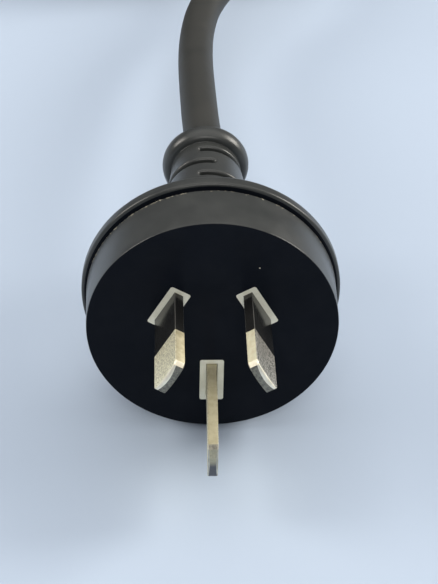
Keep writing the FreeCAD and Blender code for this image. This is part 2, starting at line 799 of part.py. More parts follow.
groove_across = number(f"Sizes.hank_across + Sizes.fold_radius + {TRACK_PITCH} / 2")
groove_up = number(f"{HANK_TOP} + {CORD_RADIUS} - Sizes.strand_sink")
inner_up = number(ENTRY_UP)
tail_end = FreeCAD.Vector(*(number(place) for place in (CONNECTOR_ACROSS, CONNECTOR_BACK, CONNECTOR_UP)))
near_middle = FreeCAD.Vector(size("hank_across"), number(NEAR_CENTRE), 0)
far_middle = FreeCAD.Vector((groove_across + tail_end.x) / 2, number(FAR_CENTRE), 0)
steps = range(TURN_STEPS)
near_heights = [inner_up + number(LAYER_PITCH) * climb((i + 0.5) / TURN_STEPS) for i in steps]
far_heights = [groove_up + (tail_end.z - groove_up) * i / (TURN_STEPS - 1) for i in steps]
tail_points = [
    *fold_points(near_middle, size("fold_radius"), math.pi, near_heights),
    FreeCAD.Vector(groove_across, number(NEAR_CENTRE) + size("strand_rise"), groove_up),
    *fold_points(far_middle, (groove_across - tail_end.x) / 2, 0, far_heights),
    tail_end,
]
tail_path, tail_radii = rounded_path(tail_points)
hank_strand = made_piece(
    "hank_strand",
    tube(tail_path, tail_points[0], tail_points[1] - tail_points[0], number(CORD_RADIUS)),
)
print("top strand length", round(tail_path.Length, 1), "radii", [round(r, 1) for r in tail_radii])
cord_hank = joined("cord_hank", [hank_ring, hank_entry, hank_strand])

# Tie: a strap round one side of the hank and the strand on top of it.
tie_near = number(f"{NEAR_CENTRE} + Sizes.hank_run / 2")
rail_inside = number(f"Sizes.hank_across + {HANK_INNER} - Sizes.tie_slack")
rail_outside = number(f"Sizes.hank_across + {HANK_OUTER} + Sizes.tie_slack")
rail_top = number(f"{HANK_TOP} + Sizes.tie_slack")
strand_half = number(CORD_RADIUS)
strand_top = groove_up + strand_half + size("tie_slack")
strap_corners = (
    (rail_inside, size("tie_thickness")),
    (rail_outside, size("tie_thickness")),
    (rail_outside, rail_top),
    (groove_across + strand_half, strand_top),
    (groove_across - strand_half, strand_top),
    (rail_inside, rail_top),
)
strap_loop = [FreeCAD.Vector(x, tie_near, z) for x, z in strap_corners]
strap_inside = Part.Face(Part.makePolygon(strap_loop + strap_loop[:1]))
strap_outside = strap_inside.makeOffset2D(size("tie_thickness"))
strap_ahead = FreeCAD.Vector(0, size("tie_width"), 0)
hank_tie = made_piece(
    "hank_tie",
    strap_outside.extrude(strap_ahead).cut(strap_inside.extrude(strap_ahead)).Solids[0],
)

# Appliance connector lying on the hank, its mouth towards -Y. Depths are measured back from the mouth.
CONTACT_BACK = "(Sizes.contact_front + Sizes.contact_length)"
CONTACT_WIDTH = "(Sizes.pin_slot_width + 2 * Sizes.contact_wall)"
CONTACT_HEIGHT = "(Sizes.pin_slot_height + 2 * Sizes.contact_wall)"
BOOT_END_RADIUS = f"({CORD_RADIUS} + Sizes.boot_wall)"
AT_CONNECTOR = (CONNECTOR_ACROSS, CONNECTOR_FACE, CONNECTOR_UP)

shell_blank = new_body("connector_shell")
place(shell_blank, *AT_CONNECTOR)
shell_sketch = sketch_on(shell_blank, "shell_section", "XZ_Plane", f"-{SHELL_BACK}")
rectangle(shell_sketch, SHELL_WIDTH, SHELL_HEIGHT)
pad(shell_blank, "shell", shell_sketch, f"{SHELL_BACK} - Sizes.nose_length")

round_edges(shell_blank, "shell_rounded", lengthwise, "Sizes.shell_round")
boot_sketch = sketch_on(shell_blank, "boot_profile", "YZ_Plane")
outline(
    boot_sketch,
    [
        (SHELL_BACK, "0"),
        (SHELL_BACK, f"{BOOT_END_RADIUS} + Sizes.boot_flare"),
        (CONNECTOR_LENGTH, BOOT_END_RADIUS),
        (CONNECTOR_LENGTH, "0"),
    ],
)
revolve(shell_blank, "boot", boot_sketch)

nose_blank = new_body("connector_nose")
place(nose_blank, *AT_CONNECTOR)
nose_sketch = sketch_on(nose_blank, "nose_section", "XZ_Plane", f"-{NOSE_BACK}")
side, top = "Sizes.nose_width / 2", "Sizes.nose_height / 2"
corner_side, corner_top = f"({side} - Sizes.nose_corner)", f"({top} - Sizes.nose_corner)"
outline(
    nose_sketch,
    [
        (side, f"-{top}"),
        (side, corner_top),
        (corner_side, top),
        (f"-{corner_side}", top),
        (f"-{side}", corner_top),
        (f"-{side}", f"-{top}"),
    ],
)
pad(nose_blank, "nose", nose_sketch, NOSE_BACK)
round_edges(nose_blank, "nose_rounded", lengthwise, "Sizes.nose_round")

CONTACTS = {
    "active": ("-Sizes.contact_spread", "-Sizes.contact_offset", -120),
    "neutral": ("Sizes.contact_spread", "-Sizes.contact_offset", 120),
    "earth": ("0", "Sizes.contact_offset", 0),
}
contacts, contact_rooms, far_ends = [], [], {}
for name, (across, up, angle) in CONTACTS.items():
    where = (f"{CONNECTOR_ACROSS} + {across}", CONNECTOR_FACE, f"{CONNECTOR_UP} + {up}")
    node = f"connector_{name}_contact"
    contact = new_body(node)
    place(contact, *where)
    socket = sketch_on(contact, f"{node}_socket_section", "XZ_Plane", f"-{CONTACT_BACK}")
    rectangle(socket, CONTACT_WIDTH, CONTACT_HEIGHT)
    rectangle(socket, "Sizes.pin_slot_width", "Sizes.pin_slot_height")
    pad(contact, f"{node}_socket", socket, "Sizes.contact_length")
    wall_start = f"-{CONTACT_BACK} - Sizes.contact_wall"
    length_of_bar(
        contact,
        f"{node}_back",
        wall_start,
        f"-{CONTACT_BACK}",
        CONTACT_HEIGHT,
        CONTACT_WIDTH,
    )
    length_of_bar(
        contact,
        f"{node}_tail",
        f"-{CONTACT_CRIMP}",
        wall_start,
        f"2 * {CRIMP_RADIUS}",
        "2 * Sizes.contact_wall",
    )
    crimp(contact, node, CONTACT_CRIMP)
    contacts.append(contact)
    contact_rooms += [
        box(
            f"{node}_room",
            where[0],
            f"{CONNECTOR_FACE} + Sizes.contact_front",
            where[2],
            CONTACT_WIDTH,
            "Sizes.contact_length",
            CONTACT_HEIGHT,
        ),
        box(
            f"{node}_slot",
            where[0],
            CONNECTOR_FACE,
            where[2],
            "Sizes.pin_slot_width",
            "Sizes.contact_front",
            "Sizes.pin_slot_height",
        ),
    ]
    far_ends[name] = (angle, number(across), number(up))

connector_insert = cut(
    "connector_insert", nose_blank, joined("connector_rooms", contact_rooms + contacts)
)
doc.recompute()
connector_origin = FreeCAD.Vector(*(number(expression) for expression in AT_CONNECTOR))
connector_cores = spread_cores(
    "connector_",
    connector_origin,
    far_ends,
    number(BOOT_SHEATH),
    number(CONTACT_CRIMP_END),
)
connector_sheath_end = cord_round(
    "connector_sheath_end",
    CONNECTOR_ACROSS,
    f"{CONNECTOR_FACE} + {BOOT_SHEATH}",
    CONNECTOR_UP,
    f"{CONNECTOR_LENGTH} - {BOOT_SHEATH}",
)
connector_body = cut(
    "connector_body",
    shell_blank,
    joined(
        "connector_filling", [nose_blank, *contacts, *connector_cores, connector_sheath_end]
    ),
)

# Every object is tested before anything is written.
doc.recompute()
PIECES = [
    plug_body,
    pin_bridge,
    *blades,
    *sleeves,
    *plug_cores,
    cord_sheath_end,
    cord_lead,
    cord_hank,
    hank_tie,
    connector_body,
    connector_insert,
    *contacts,
    *connector_cores,
    connector_sheath_end,
]
for item in doc.Objects:
    if "Invalid" in item.State or "Error" in item.State:
        raise RuntimeError(f"{item.Label} failed: {item.State}")
for piece in PIECES:
    if piece.Shape.isNull() or not piece.Shape.isValid() or len(piece.Shape.Solids) != 1:
        raise RuntimeError(f"{piece.Label} is not one valid solid")
os.makedirs("parts", exist_ok=True)
for piece in PIECES:
    piece.Shape.exportStep(f"parts/{piece.Label}.step")
print(len(PIECES), "pieces")
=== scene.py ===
"""Looks of a moulded three-blade mains plug and its cord.

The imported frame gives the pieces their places. Sizes here are in millimetres until a mesh is made.
Depths run back from the plug's face along +Y, and angles run from +X towards +Z.
"""

import logging
import math
import random
from collections.abc import Callable, Iterable, Sequence
from dataclasses import dataclass, field
from enum import Enum, IntEnum
from functools import cache

import bmesh
import bpy
from mathutils import Matrix, Vector


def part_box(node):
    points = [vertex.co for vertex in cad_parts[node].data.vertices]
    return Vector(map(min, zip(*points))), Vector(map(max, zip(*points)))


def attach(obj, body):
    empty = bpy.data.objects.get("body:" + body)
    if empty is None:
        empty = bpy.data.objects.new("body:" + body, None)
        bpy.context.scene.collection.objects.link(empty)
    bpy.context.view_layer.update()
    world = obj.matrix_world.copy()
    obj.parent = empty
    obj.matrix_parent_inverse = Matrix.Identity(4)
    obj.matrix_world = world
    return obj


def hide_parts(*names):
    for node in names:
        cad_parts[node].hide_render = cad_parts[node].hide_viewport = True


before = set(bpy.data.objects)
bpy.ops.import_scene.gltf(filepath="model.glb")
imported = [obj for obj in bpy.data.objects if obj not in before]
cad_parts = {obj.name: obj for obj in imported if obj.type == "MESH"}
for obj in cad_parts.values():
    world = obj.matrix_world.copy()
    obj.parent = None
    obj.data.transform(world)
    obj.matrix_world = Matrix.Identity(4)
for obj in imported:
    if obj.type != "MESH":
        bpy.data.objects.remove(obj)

log = logging.getLogger("plug")

MM = 0.001
ROOT = "root"
Span = tuple[float, float]
Place = tuple[float, float]
Point = tuple[float, float, float]
Colour = tuple[float, float, float]
Tree = bpy.types.NodeTree
Node = bpy.types.Node
Socket = bpy.types.NodeSocket
Material = bpy.types.Material
Piece = bpy.types.Object


class Cut(Enum):
    """Which side of the neck a strain-relief slot opens to."""

    RIGHT = 0.0
    LEFT = 180.0


class BladeFace(IntEnum):
    """The kinds of face on a blade, each with a finish of its own."""

    WIDE = 0
    NARROW = 1
    COINING = 2
    END = 3
    CORNER = 4


# Outlines and facets


def ease(share: float) -> float:
    """A smooth step from 0 to 1."""
    held = min(max(share, 0.0), 1.0)
    return held * held * (3.0 - 2.0 * held)


def between(value: float, low: float, high: float) -> float:
    """How far a value has come from low to high, smoothed."""
    return ease((value - low) / (high - low))


def circle(radius: float, count: int) -> list[Place]:
    """Points round a circle about its middle."""
    turns = (2.0 * math.pi * i / count for i in range(count))
    return [(radius * math.cos(turn), radius * math.sin(turn)) for turn in turns]


def rounded_rectangle(half_width: float, half_height: float, radius: float, steps: int = 4) -> list[Place]:
    """Corner points of a rectangle with round corners, about its middle.

    Args:
        half_width: Half its width.
        half_height: Half its height.
        radius: Its corner radius.
        steps: Steps in each corner.

    Returns:
        Points in order, the same number for each call with the same steps.
    """
    points = []
    for corner, (across, up) in enumerate(((1, 1), (-1, 1), (-1, -1), (1, -1))):
        middle = across * (half_width - radius), up * (half_height - radius)
        for i in range(steps + 1):
            turn = math.radians(90.0 * (corner + i / steps))
            points.append((middle[0] + radius * math.cos(turn), middle[1] + radius * math.sin(turn)))
    return points


def filleted(corners: Sequence[Point], steps: int = 8) -> list[Place]:
    """Rounds the corners of an open outline.

    Args:
        corners: Each corner's depth, radius and rounding; no rounding keeps the corner.
        steps: Steps in each arc.

    Returns:
        The outline's points.
    """
    points = [corners[0][:2]]
    for before, corner, after in zip(corners, corners[1:], corners[2:]):
        here = Vector(corner[:2])
        if not corner[2]:
            points.append(tuple(here))
            continue
        way_in = (Vector(before[:2]) - here).normalized()
        way_out = (Vector(after[:2]) - here).normalized()
        half = way_in.angle(way_out) / 2
        reach = corner[2] / math.tan(half)
        centre = here + (way_in + way_out).normalized() * corner[2] / math.sin(half)
        start, end = here + way_in * reach - centre, here + way_out * reach - centre
        turn = start.angle_signed(end)
        for i in range(steps + 1):
            points.append(tuple(centre + Matrix.Rotation(-turn * i / steps, 2) @ start))
    points.append(corners[-1][:2])
    return points


@dataclass
class Facets:
    """Corners and faces of a piece in the making, with the number of each face's finish."""

    points: list[Sequence[float]] = field(default_factory=list)
    faces: list[list[int]] = field(default_factory=list)
    marks: list[int] = field(default_factory=list)

    def add(self, face: Iterable[int], mark: int = 0) -> None:
        """Adds one face by its corner numbers."""
        self.faces.append(list(face))
        self.marks.append(mark)

    def loft(self, rings: Sequence[Sequence[Sequence[float]]], capped: bool = False) -> None:
        """Adds a skin over closed rings of points, all of the same count.

        Args:
            rings: The rings, in order.
            capped: Whether the first and the last ring are closed.
        """
        first, count = len(self.points), len(rings[0])
        for ring in rings:
            self.points += ring
        for row in range(len(rings) - 1):
            here = first + row * count
            for i in range(count):
                j = (i + 1) % count
                self.add((here + i, here + j, here + count + j, here + count + i))
        if capped:
            last = first + (len(rings) - 1) * count
            self.add(range(first, first + count))
            self.add(range(last, last + count))


# Shader nodes and groups

FULL_SPAN: Span = (0.0, 1.0)
NOISE_SPAN: Span = (0.3, 0.7)
STAIN_SPAN: Span = (0.42, 0.60)
FAINT_STAIN = 0.25
DRAWN_ALONG_Y: Point = (1.0, 0.04, 1.0)
# How far apart a wave texture's bands are at a scale of 1, in metres
BAND_PITCH = math.pi / 10.0
# Where a Mix node takes its two colours and gives their blend
MIX_LOW = 6
MIX_HIGH = 7
MIX_BLEND = 2


def fill(tree: Tree, node: Node, inputs: dict[str | int, object]) -> None:
    """Fills a node's sockets.

    Args:
        tree: The node's tree.
        node: The node.
        inputs: Values, or sockets to join, by input name or number.
    """
    for name, value in inputs.items():
        if isinstance(value, Socket):
            tree.links.new(value, node.inputs[name])
        else:
            node.inputs[name].default_value = value


def put(tree: Tree, kind: str, inputs: dict[str | int, object] | None = None, **settings: object) -> Node:
    """Adds a node and fills its sockets.

    Args:
        tree: The node tree.
        kind: The node's type.
        inputs: Values, or sockets to join, by input name or number.
        settings: The node's own settings.

    Returns:
        The node.
    """
    node = tree.nodes.new(kind)
    for name, value in settings.items():
        setattr(node, name, value)
    fill(tree, node, inputs or {})
    return node


def object_place(tree: Tree) -> Socket:
    """Each point's place in the object's own frame."""
    return put(tree, "ShaderNodeTexCoord").outputs["Object"]


def math_of(tree: Tree, operation: str, *values: object) -> Socket:
    """The result of a Math node on values or sockets."""
    return put(tree, "ShaderNodeMath", dict(enumerate(values)), operation=operation).outputs[0]


def remap(tree: Tree, value: Socket, source: Span, target: Span) -> Socket:
    """A value carried from one range to another, clamped."""
    inputs = dict(enumerate((value, *source, *target)))
    return put(tree, "ShaderNodeMapRange", inputs).outputs[0]


def noise(tree: Tree, where: Socket, scale: Socket, detail: float, roughness: float) -> Socket:
    """A noise texture's value at a place."""
    inputs = {"Vector": where, "Scale": scale, "Detail": detail, "Roughness": roughness}
    return put(tree, "ShaderNodeTexNoise", inputs).outputs[0]


def bands(tree: Tree, scale: float, way: str) -> Socket:
    """A wave texture's value, in bands along one axis of the object."""
    inputs = {"Vector": object_place(tree), "Scale": scale}
    return put(tree, "ShaderNodeTexWave", inputs, bands_direction=way).outputs[1]


def blend(tree: Tree, share: Socket, low: Colour | Socket, high: Colour) -> Socket:
    """Two colours mixed by a mask."""
    first = low if isinstance(low, Socket) else (*low, 1.0)
    inputs = {"Factor": share, MIX_LOW: first, MIX_HIGH: (*high, 1.0)}
    return put(tree, "ShaderNodeMix", inputs, data_type="RGBA").outputs[MIX_BLEND]


def bump(tree: Tree, height: Socket, depth: float) -> Socket:
    """A bumped normal; the depth is in millimetres."""
    inputs = {"Height": height, "Distance": depth * MM, "Strength": 1.0}
    return put(tree, "ShaderNodeBump", inputs).outputs[0]


def start_group(
    name: str, inputs: Iterable[str], outputs: Iterable[str]
) -> tuple[Tree, bpy.types.bpy_prop_collection, bpy.types.bpy_prop_collection]:
    """Begins a shader group with float inputs and outputs.

    Args:
        name: The group's name.
        inputs: Names of its inputs.
        outputs: Names of its outputs.

    Returns:
        The group's tree, the sockets that it is given and those that it puts out.
    """
    tree = bpy.data.node_groups.new(name, "ShaderNodeTree")
    for way, sockets in (("INPUT", inputs), ("OUTPUT", outputs)):
        for socket in sockets:
            tree.interface.new_socket(socket, in_out=way, socket_type="NodeSocketFloat")
    given = tree.nodes.new("NodeGroupInput").outputs
    return tree, given, tree.nodes.new("NodeGroupOutput").inputs


@cache
def mould_grain() -> Tree:
    """Spark-eroded mould grain with a broad mottle under it.

    Returns:
        The group's tree, built once.
    """
    tree, given, out = start_group("mould_grain", ["Grain Scale", "Mottle Scale"], ["Height", "Mottle"])
    where = object_place(tree)
    broad = noise(tree, where, given["Mottle Scale"], detail=4.0, roughness=0.55)
    tree.links.new(noise(tree, where, given["Grain Scale"], detail=3.0, roughness=0.6), out["Height"])
    tree.links.new(remap(tree, broad, NOISE_SPAN, FULL_SPAN), out["Mottle"])
    return tree


@cache
def dust_specks() -> Tree:
    """Sparse pale specks of dust and lint, as a mask.

    Returns:
        The group's tree, built once.
    """
    tree, given, out = start_group("dust_specks", ["Cell Scale", "Speck Size", "Rarity"], ["Mask"])
    cells = put(tree, "ShaderNodeTexVoronoi", {"Vector": object_place(tree), "Scale": given["Cell Scale"]})
    chance = put(tree, "ShaderNodeSeparateColor", {0: cells.outputs["Color"]})
    chosen = math_of(tree, "GREATER_THAN", chance.outputs[0], given["Rarity"])
    spread = math_of(tree, "MULTIPLY", given["Speck Size"], chance.outputs[1])
    near = math_of(tree, "LESS_THAN", cells.outputs["Distance"], spread)
    tree.links.new(math_of(tree, "MULTIPLY", chosen, near), out["Mask"])
    return tree


@cache
def drawn_marks() -> Tree:
    """Fine marks that run one way along drawn or rolled metal, and a fine stain.

    Returns:
        The group's tree, built once.
    """
    tree, given, out = start_group("drawn_marks", ["Mark Scale", "Stain Scale"], ["Height", "Stain"])
    where = object_place(tree)
    drawn = put(tree, "ShaderNodeMapping", {"Vector": where, "Scale": DRAWN_ALONG_Y}).outputs[0]
    stains = noise(tree, where, given["Stain Scale"], detail=5.0, roughness=0.6)
    tree.links.new(noise(tree, drawn, given["Mark Scale"], detail=4.0, roughness=0.65), out["Height"])
    tree.links.new(remap(tree, stains, STAIN_SPAN, FULL_SPAN), out["Stain"])
    return tree


# Finishes


@dataclass(frozen=True)
class Finish:
    """A named finish, which becomes one material."""

    name: str

    def sockets(self, tree: Tree) -> dict[str | int, object]:
        """What the shader is given; each kind of finish has its own.

        Args:
            tree: The material's tree.

        Returns:
            Values, or sockets to join, by the shader's input names.
        """
        raise NotImplementedError

    def material(self) -> Material:
        """Makes the material.

        Returns:
            The material, with its shader filled.
        """
        material = bpy.data.materials.new(self.name)
        material.use_nodes = True
        tree = material.node_tree
        fill(tree, tree.nodes["Principled BSDF"], self.sockets(tree))
        return material


@cache
def material_of(finish: Finish) -> Material:
    """A finish's material, made once."""
    return finish.material()


@dataclass(frozen=True)
class PlainFinish(Finish):
    """One even colour."""

    colour: Colour
    roughness: float
    specular: float

    def sockets(self, tree: Tree) -> dict[str | int, object]:
        """The same values all over."""
        colour = (*self.colour, 1.0)
        return {"Base Color": colour, "Roughness": self.roughness, "Specular IOR Level": self.specular}


@dataclass(frozen=True)
class MouldedFinish(Finish):
    """A moulded plastic: mould grain, a broad mottle and a little dust."""

    colour: Colour
    worn: Colour
    roughness: Span
    grain: float
    depth: float
    specular: float = 0.5
    mottle: float = 260.0
    dust_rarity: float = 0.985
    dust: Colour = (0.30, 0.29, 0.27)
    dust_cells: float = 420.0
    dust_size: float = 0.055

    def sockets(self, tree: Tree) -> dict[str | int, object]:
        """The mottle sets the colour and the gloss, the grain the normal, and dust lies on top.

        Args:
            tree: The material's tree.

        Returns:
            Values, or sockets to join, by the shader's input names.
        """
        scales = {"Grain Scale": self.grain, "Mottle Scale": self.mottle}
        grain = put(tree, "ShaderNodeGroup", scales, node_tree=mould_grain()).outputs
        specks = {"Cell Scale": self.dust_cells, "Speck Size": self.dust_size, "Rarity": self.dust_rarity}
        dust = put(tree, "ShaderNodeGroup", specks, node_tree=dust_specks()).outputs
        clean = blend(tree, grain["Mottle"], self.colour, self.worn)
        return {
            "Base Color": blend(tree, dust["Mask"], clean, self.dust),
            "Roughness": remap(tree, grain["Mottle"], FULL_SPAN, self.roughness),
            "Normal": bump(tree, grain["Height"], self.depth),
            "Specular IOR Level": self.specular,
        }


@dataclass(frozen=True)
class MetalFinish(Finish):
    """A plated or cut metal with drawing marks and a fine stain.

    One with painted shade below two heights has a faint stain, and darkens into its stain's tone from the
    upper height down to the lower, as painted shade.
    """

    colour: Colour
    stain: Colour
    roughness: Span
    depth: float
    marks: float = 9000.0
    stains: float = 900.0
    # Heights in millimetres below which the colour darkens as painted shade
    painted_shade_below: Span | None = None
    metallic: float = 1.0

    def sockets(self, tree: Tree) -> dict[str | int, object]:
        """The stain and any painted shade towards the bottom set the colour, and the marks set the gloss and
        the normal.

        Args:
            tree: The material's tree.

        Returns:
            Values, or sockets to join, by the shader's input names.
        """
        scales = {"Mark Scale": self.marks, "Stain Scale": self.stains}
        drawn = put(tree, "ShaderNodeGroup", scales, node_tree=drawn_marks()).outputs
        share = drawn["Stain"]
        # Painted shade: the colour darkens towards the bottom, below the given heights
        if self.painted_shade_below:
            height = put(tree, "ShaderNodeSeparateXYZ", {0: object_place(tree)}).outputs["Z"]
            low, high = (level * MM for level in self.painted_shade_below)
            faint = math_of(tree, "MULTIPLY", share, FAINT_STAIN)
            share = math_of(tree, "MAXIMUM", faint, remap(tree, height, (low, high), (1.0, 0.0)))
        return {
            "Base Color": blend(tree, share, self.colour, self.stain),
            "Roughness": remap(tree, drawn["Height"], NOISE_SPAN, self.roughness),
            "Normal": bump(tree, drawn["Height"], self.depth),
            "Metallic": self.metallic,
        }


@dataclass(frozen=True)
class WovenFinish(Finish):
    """A narrow woven strap: ribs across it and a thread along it."""

    colour: Colour
    raised: Colour
    pitch: float
    depth: float
    roughness: float = 0.8
    sheen: float = 0.2

    def sockets(self, tree: Tree) -> dict[str | int, object]:
        """The weave sets the colour and the normal.

        Args:
            tree: The material's tree.

        Returns:
            Values, or sockets to join, by the shader's input names.
        """
        scale = BAND_PITCH / (self.pitch * MM)
        weave = math_of(tree, "MULTIPLY", bands(tree, scale, "Y"), bands(tree, scale, "Z"))
        return {
            "Base Color": blend(tree, weave, self.colour, self.raised),
            "Roughness": self.roughness,
            "Normal": bump(tree, weave, self.depth),
            "Sheen Weight": self.sheen,
        }


@dataclass(frozen=True)
class CoreFinish(Finish):
    """A core's insulation, in one colour or with a stripe along it."""

    colour: Colour
    stripe: Colour
    stripe_scale: float = 120.0
    stripe_from: float = 0.6
    roughness: float = 0.42

    def sockets(self, tree: Tree) -> dict[str | int, object]:
        """The stripe lies where its bands are high."""
        striped = math_of(tree, "GREATER_THAN", bands(tree, self.stripe_scale, "X"), self.stripe_from)
        return {"Base Color": blend(tree, striped, self.colour, self.stripe), "Roughness": self.roughness}


MOULDED_SIDES = MouldedFinish(
    "moulded_sides",
    (0.031, 0.0332, 0.0322),
    (0.042, 0.0443, 0.0427),
    (0.28, 0.36),
    grain=5200.0,
    depth=0.012,
    specular=0.42,
)
# Painted shade: a darker copy of the moulding's black, for the face and for the groove in front of the flange
SATIN_PAINTED_SHADE = MouldedFinish(
    "satin_painted_shade",
    (0.0065, 0.0082, 0.0120),
    (0.0085, 0.0102, 0.0140),
    (0.20, 0.26),
    grain=3600.0,
    depth=0.0015,
    specular=0.035,
    dust_rarity=0.994,
)
SLEEVE_BLACK = MouldedFinish(
    "sleeve_black",
    (0.012, 0.012, 0.012),
    (0.017, 0.017, 0.0165),
    (0.16, 0.24),
    grain=7000.0,
    depth=0.002,
    dust_rarity=0.999,
)
# Painted highlight: a lighter copy of the sleeve's black for the middles of its long corners
SLEEVE_EDGE_HIGHLIGHT = MouldedFinish(
    "sleeve_edge",
    (0.075, 0.075, 0.070),
    (0.095, 0.095, 0.090),
    (0.20, 0.28),
    grain=7000.0,
    depth=0.002,
    dust_rarity=0.999,
)
CREAM_NYLON = MouldedFinish(
    "cream_nylon",
    (0.86, 0.83, 0.68),
    (0.76, 0.73, 0.58),
    (0.38, 0.50),
    grain=4000.0,
    depth=0.008,
    mottle=900.0,
    dust_rarity=0.999,
    dust=(0.30, 0.28, 0.22),
)
CORD_SHEATH = MouldedFinish(
    "cord_sheath",
    (0.030, 0.031, 0.029),
    (0.038, 0.038, 0.035),
    (0.48, 0.56),
    grain=4200.0,
    depth=0.010,
    specular=0.24,
    mottle=180.0,
)
CONNECTOR_SHELL = MouldedFinish(
    "connector_shell",
    (0.029, 0.029, 0.029),
    (0.039, 0.039, 0.038),
    (0.42, 0.50),
    grain=5200.0,
    depth=0.012,
)
CONNECTOR_NOSE = MouldedFinish(
    "connector_nose",
    (0.024, 0.024, 0.024),
    (0.032, 0.032, 0.031),
    (0.30, 0.38),
    grain=4800.0,
    depth=0.005,
)
# Painted highlight on real flash: the crumbs' pale colour stands in for glints; the speck of lint on the face
# shares it
FLASH_GLINT_AND_LINT = MouldedFinish(
    "flash_painted_glint_and_lint",
    (0.52, 0.48, 0.37),
    (0.17, 0.155, 0.12),
    (0.45, 0.60),
    grain=5200.0,
    depth=0.006,
    mottle=2500.0,
)
PLATED_FACE = MetalFinish(
    "plated_face", (1.0, 0.95, 0.72), (0.62, 0.565, 0.40), (0.46, 0.60), depth=0.004, stains=3800.0
)
# Painted shade: a darker copy of the plated face, for the active blade's wide faces
PLATED_FACE_PAINTED_SHADE = MetalFinish(
    "plated_face_painted_shade", (0.48, 0.46, 0.41), (0.04, 0.038, 0.034), (0.46, 0.60), depth=0.004, stains=3600.0
)
# Painted shade and painted light: a darker and a lighter copy of one cut edge, for the neutral and the active
# blade's narrow sides
CUT_EDGE_PAINTED_SHADE = MetalFinish("cut_edge_painted_shade", (0.56, 0.515, 0.37), (0.44, 0.40, 0.27), (0.46, 0.60), depth=0.006)
CUT_EDGE_PAINTED_LIGHT = MetalFinish("cut_edge_painted_light", (1.0, 0.96, 0.74), (0.94, 0.87, 0.63), (0.46, 0.60), depth=0.006)
EARTH_EDGE = MetalFinish(
    "earth_edge", (0.55, 0.505, 0.345), (0.48, 0.435, 0.285), (0.46, 0.60), depth=0.006, metallic=0.4
)
COINED_EDGE = MetalFinish("coined_edge", (1.0, 0.93, 0.76), (0.90, 0.82, 0.64), (0.40, 0.52), depth=0.003)
SHEARED_END = MetalFinish(
    "sheared_end", (0.30, 0.285, 0.235), (0.17, 0.165, 0.14), (0.50, 0.65), depth=0.008, stains=2600.0
)
EARTH_END = MetalFinish(
    "earth_end",
    (0.54, 0.50, 0.36),
    (0.15, 0.15, 0.16),
    (0.50, 0.65),
    depth=0.008,
    stains=3000.0,
    # Below these heights the end darkens into its stain's tone: painted shade towards the bottom
    painted_shade_below=(10.1, 11.4),
)
EARTH_COINING = MetalFinish(
    "earth_coining", (0.60, 0.575, 0.50), (0.46, 0.44, 0.37), (0.46, 0.60), depth=0.004
)
STAMPED_BRASS = MetalFinish(
    "stamped_brass", (0.66, 0.56, 0.34), (0.50, 0.40, 0.22), (0.34, 0.48), depth=0.004
)
BARE_COPPER = MetalFinish(
    "bare_copper", (0.72, 0.36, 0.20), (0.45, 0.20, 0.10), (0.30, 0.45), depth=0.02, marks=4000.0
)
STRAP = WovenFinish("strap_weave", (0.018, 0.018, 0.019), (0.040, 0.040, 0.042), pitch=0.7, depth=0.10)
CORES = {
    "active": CoreFinish("core_brown", (0.16, 0.06, 0.025), (0.16, 0.06, 0.025)),
    "neutral": CoreFinish("core_blue", (0.05, 0.22, 0.55), (0.05, 0.22, 0.55)),
    "earth": CoreFinish("core_green_yellow", (0.08, 0.36, 0.06), (0.72, 0.58, 0.04)),
}
PALE_FLOOR = PlainFinish("pale_floor", (0.45, 0.53, 0.65), roughness=0.85, specular=0.2)


# Pieces


def link(name: str, data: bpy.types.ID) -> Piece:
    """Makes an object of its data and links it to the scene."""
    made = bpy.data.objects.new(name, data)
    bpy.context.scene.collection.objects.link(made)
    return made


def mesh_piece(
    name: str, shape: bmesh.types.BMesh, finishes: Sequence[Finish], sharp: float | None = None
) -> Piece:
    """Makes a piece of a shape, which is freed.

    Args:
        name: The piece's name.
        shape: Its faces, in metres.
        finishes: Its finishes, by the faces' numbers.
        sharp: The angle in degrees above which a smooth piece's edges stay sharp, or none for flat faces.

    Returns:
        The linked object.
    """
    mesh = bpy.data.meshes.new(name)
    shape.to_mesh(mesh)
    shape.free()
    for finish in finishes:
        mesh.materials.append(material_of(finish))
    if sharp is not None:
        mesh.shade_smooth()
        mesh.set_sharp_from_angle(angle=math.radians(sharp))
    return link(name, mesh)


def make_piece(name: str, facets: Facets, finishes: Sequence[Finish], sharp: float = 32.0) -> Piece:
    """Makes a smooth piece of its facets, with every face turned outward.

    Args:
        name: The piece's name.
        facets: Its corners, in millimetres, and its faces.
        finishes: Its finishes, by the faces' numbers.
        sharp: The angle in degrees above which an edge stays sharp.

    Returns:
        The linked object.
    """
    shape = bmesh.new()
    corners = [shape.verts.new(Vector(point) * MM) for point in facets.points]
    for face, mark in zip(facets.faces, facets.marks):
        shape.faces.new([corners[i] for i in face]).material_index = mark
    bmesh.ops.recalc_face_normals(shape, faces=shape.faces)
    return mesh_piece(name, shape, finishes, sharp)


def settle(piece: Piece, slot: str, *nodes: str) -> Piece:
    """Lets a piece ride on the plug and stand for CAD nodes, and logs its slot's name.

    Args:
        piece: The piece.
        slot: A slot name, which is only logged.
        nodes: The CAD nodes that it replaces.

    Returns:
        The same piece.
    """
    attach(piece, ROOT)
    if nodes:
        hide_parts(*nodes)
    log.info("%s: made, slot %s", piece.name, slot)
    return piece


def dress(node: str, finish: Finish) -> None:
    """Gives a carried-over CAD node its finish.

    Args:
        node: The node's name.
        finish: Its finish.
    """
    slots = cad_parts[node].data.materials
    slots.clear()
    slots.append(material_of(finish))
    log.info("%s: dressed", node)


# The plug


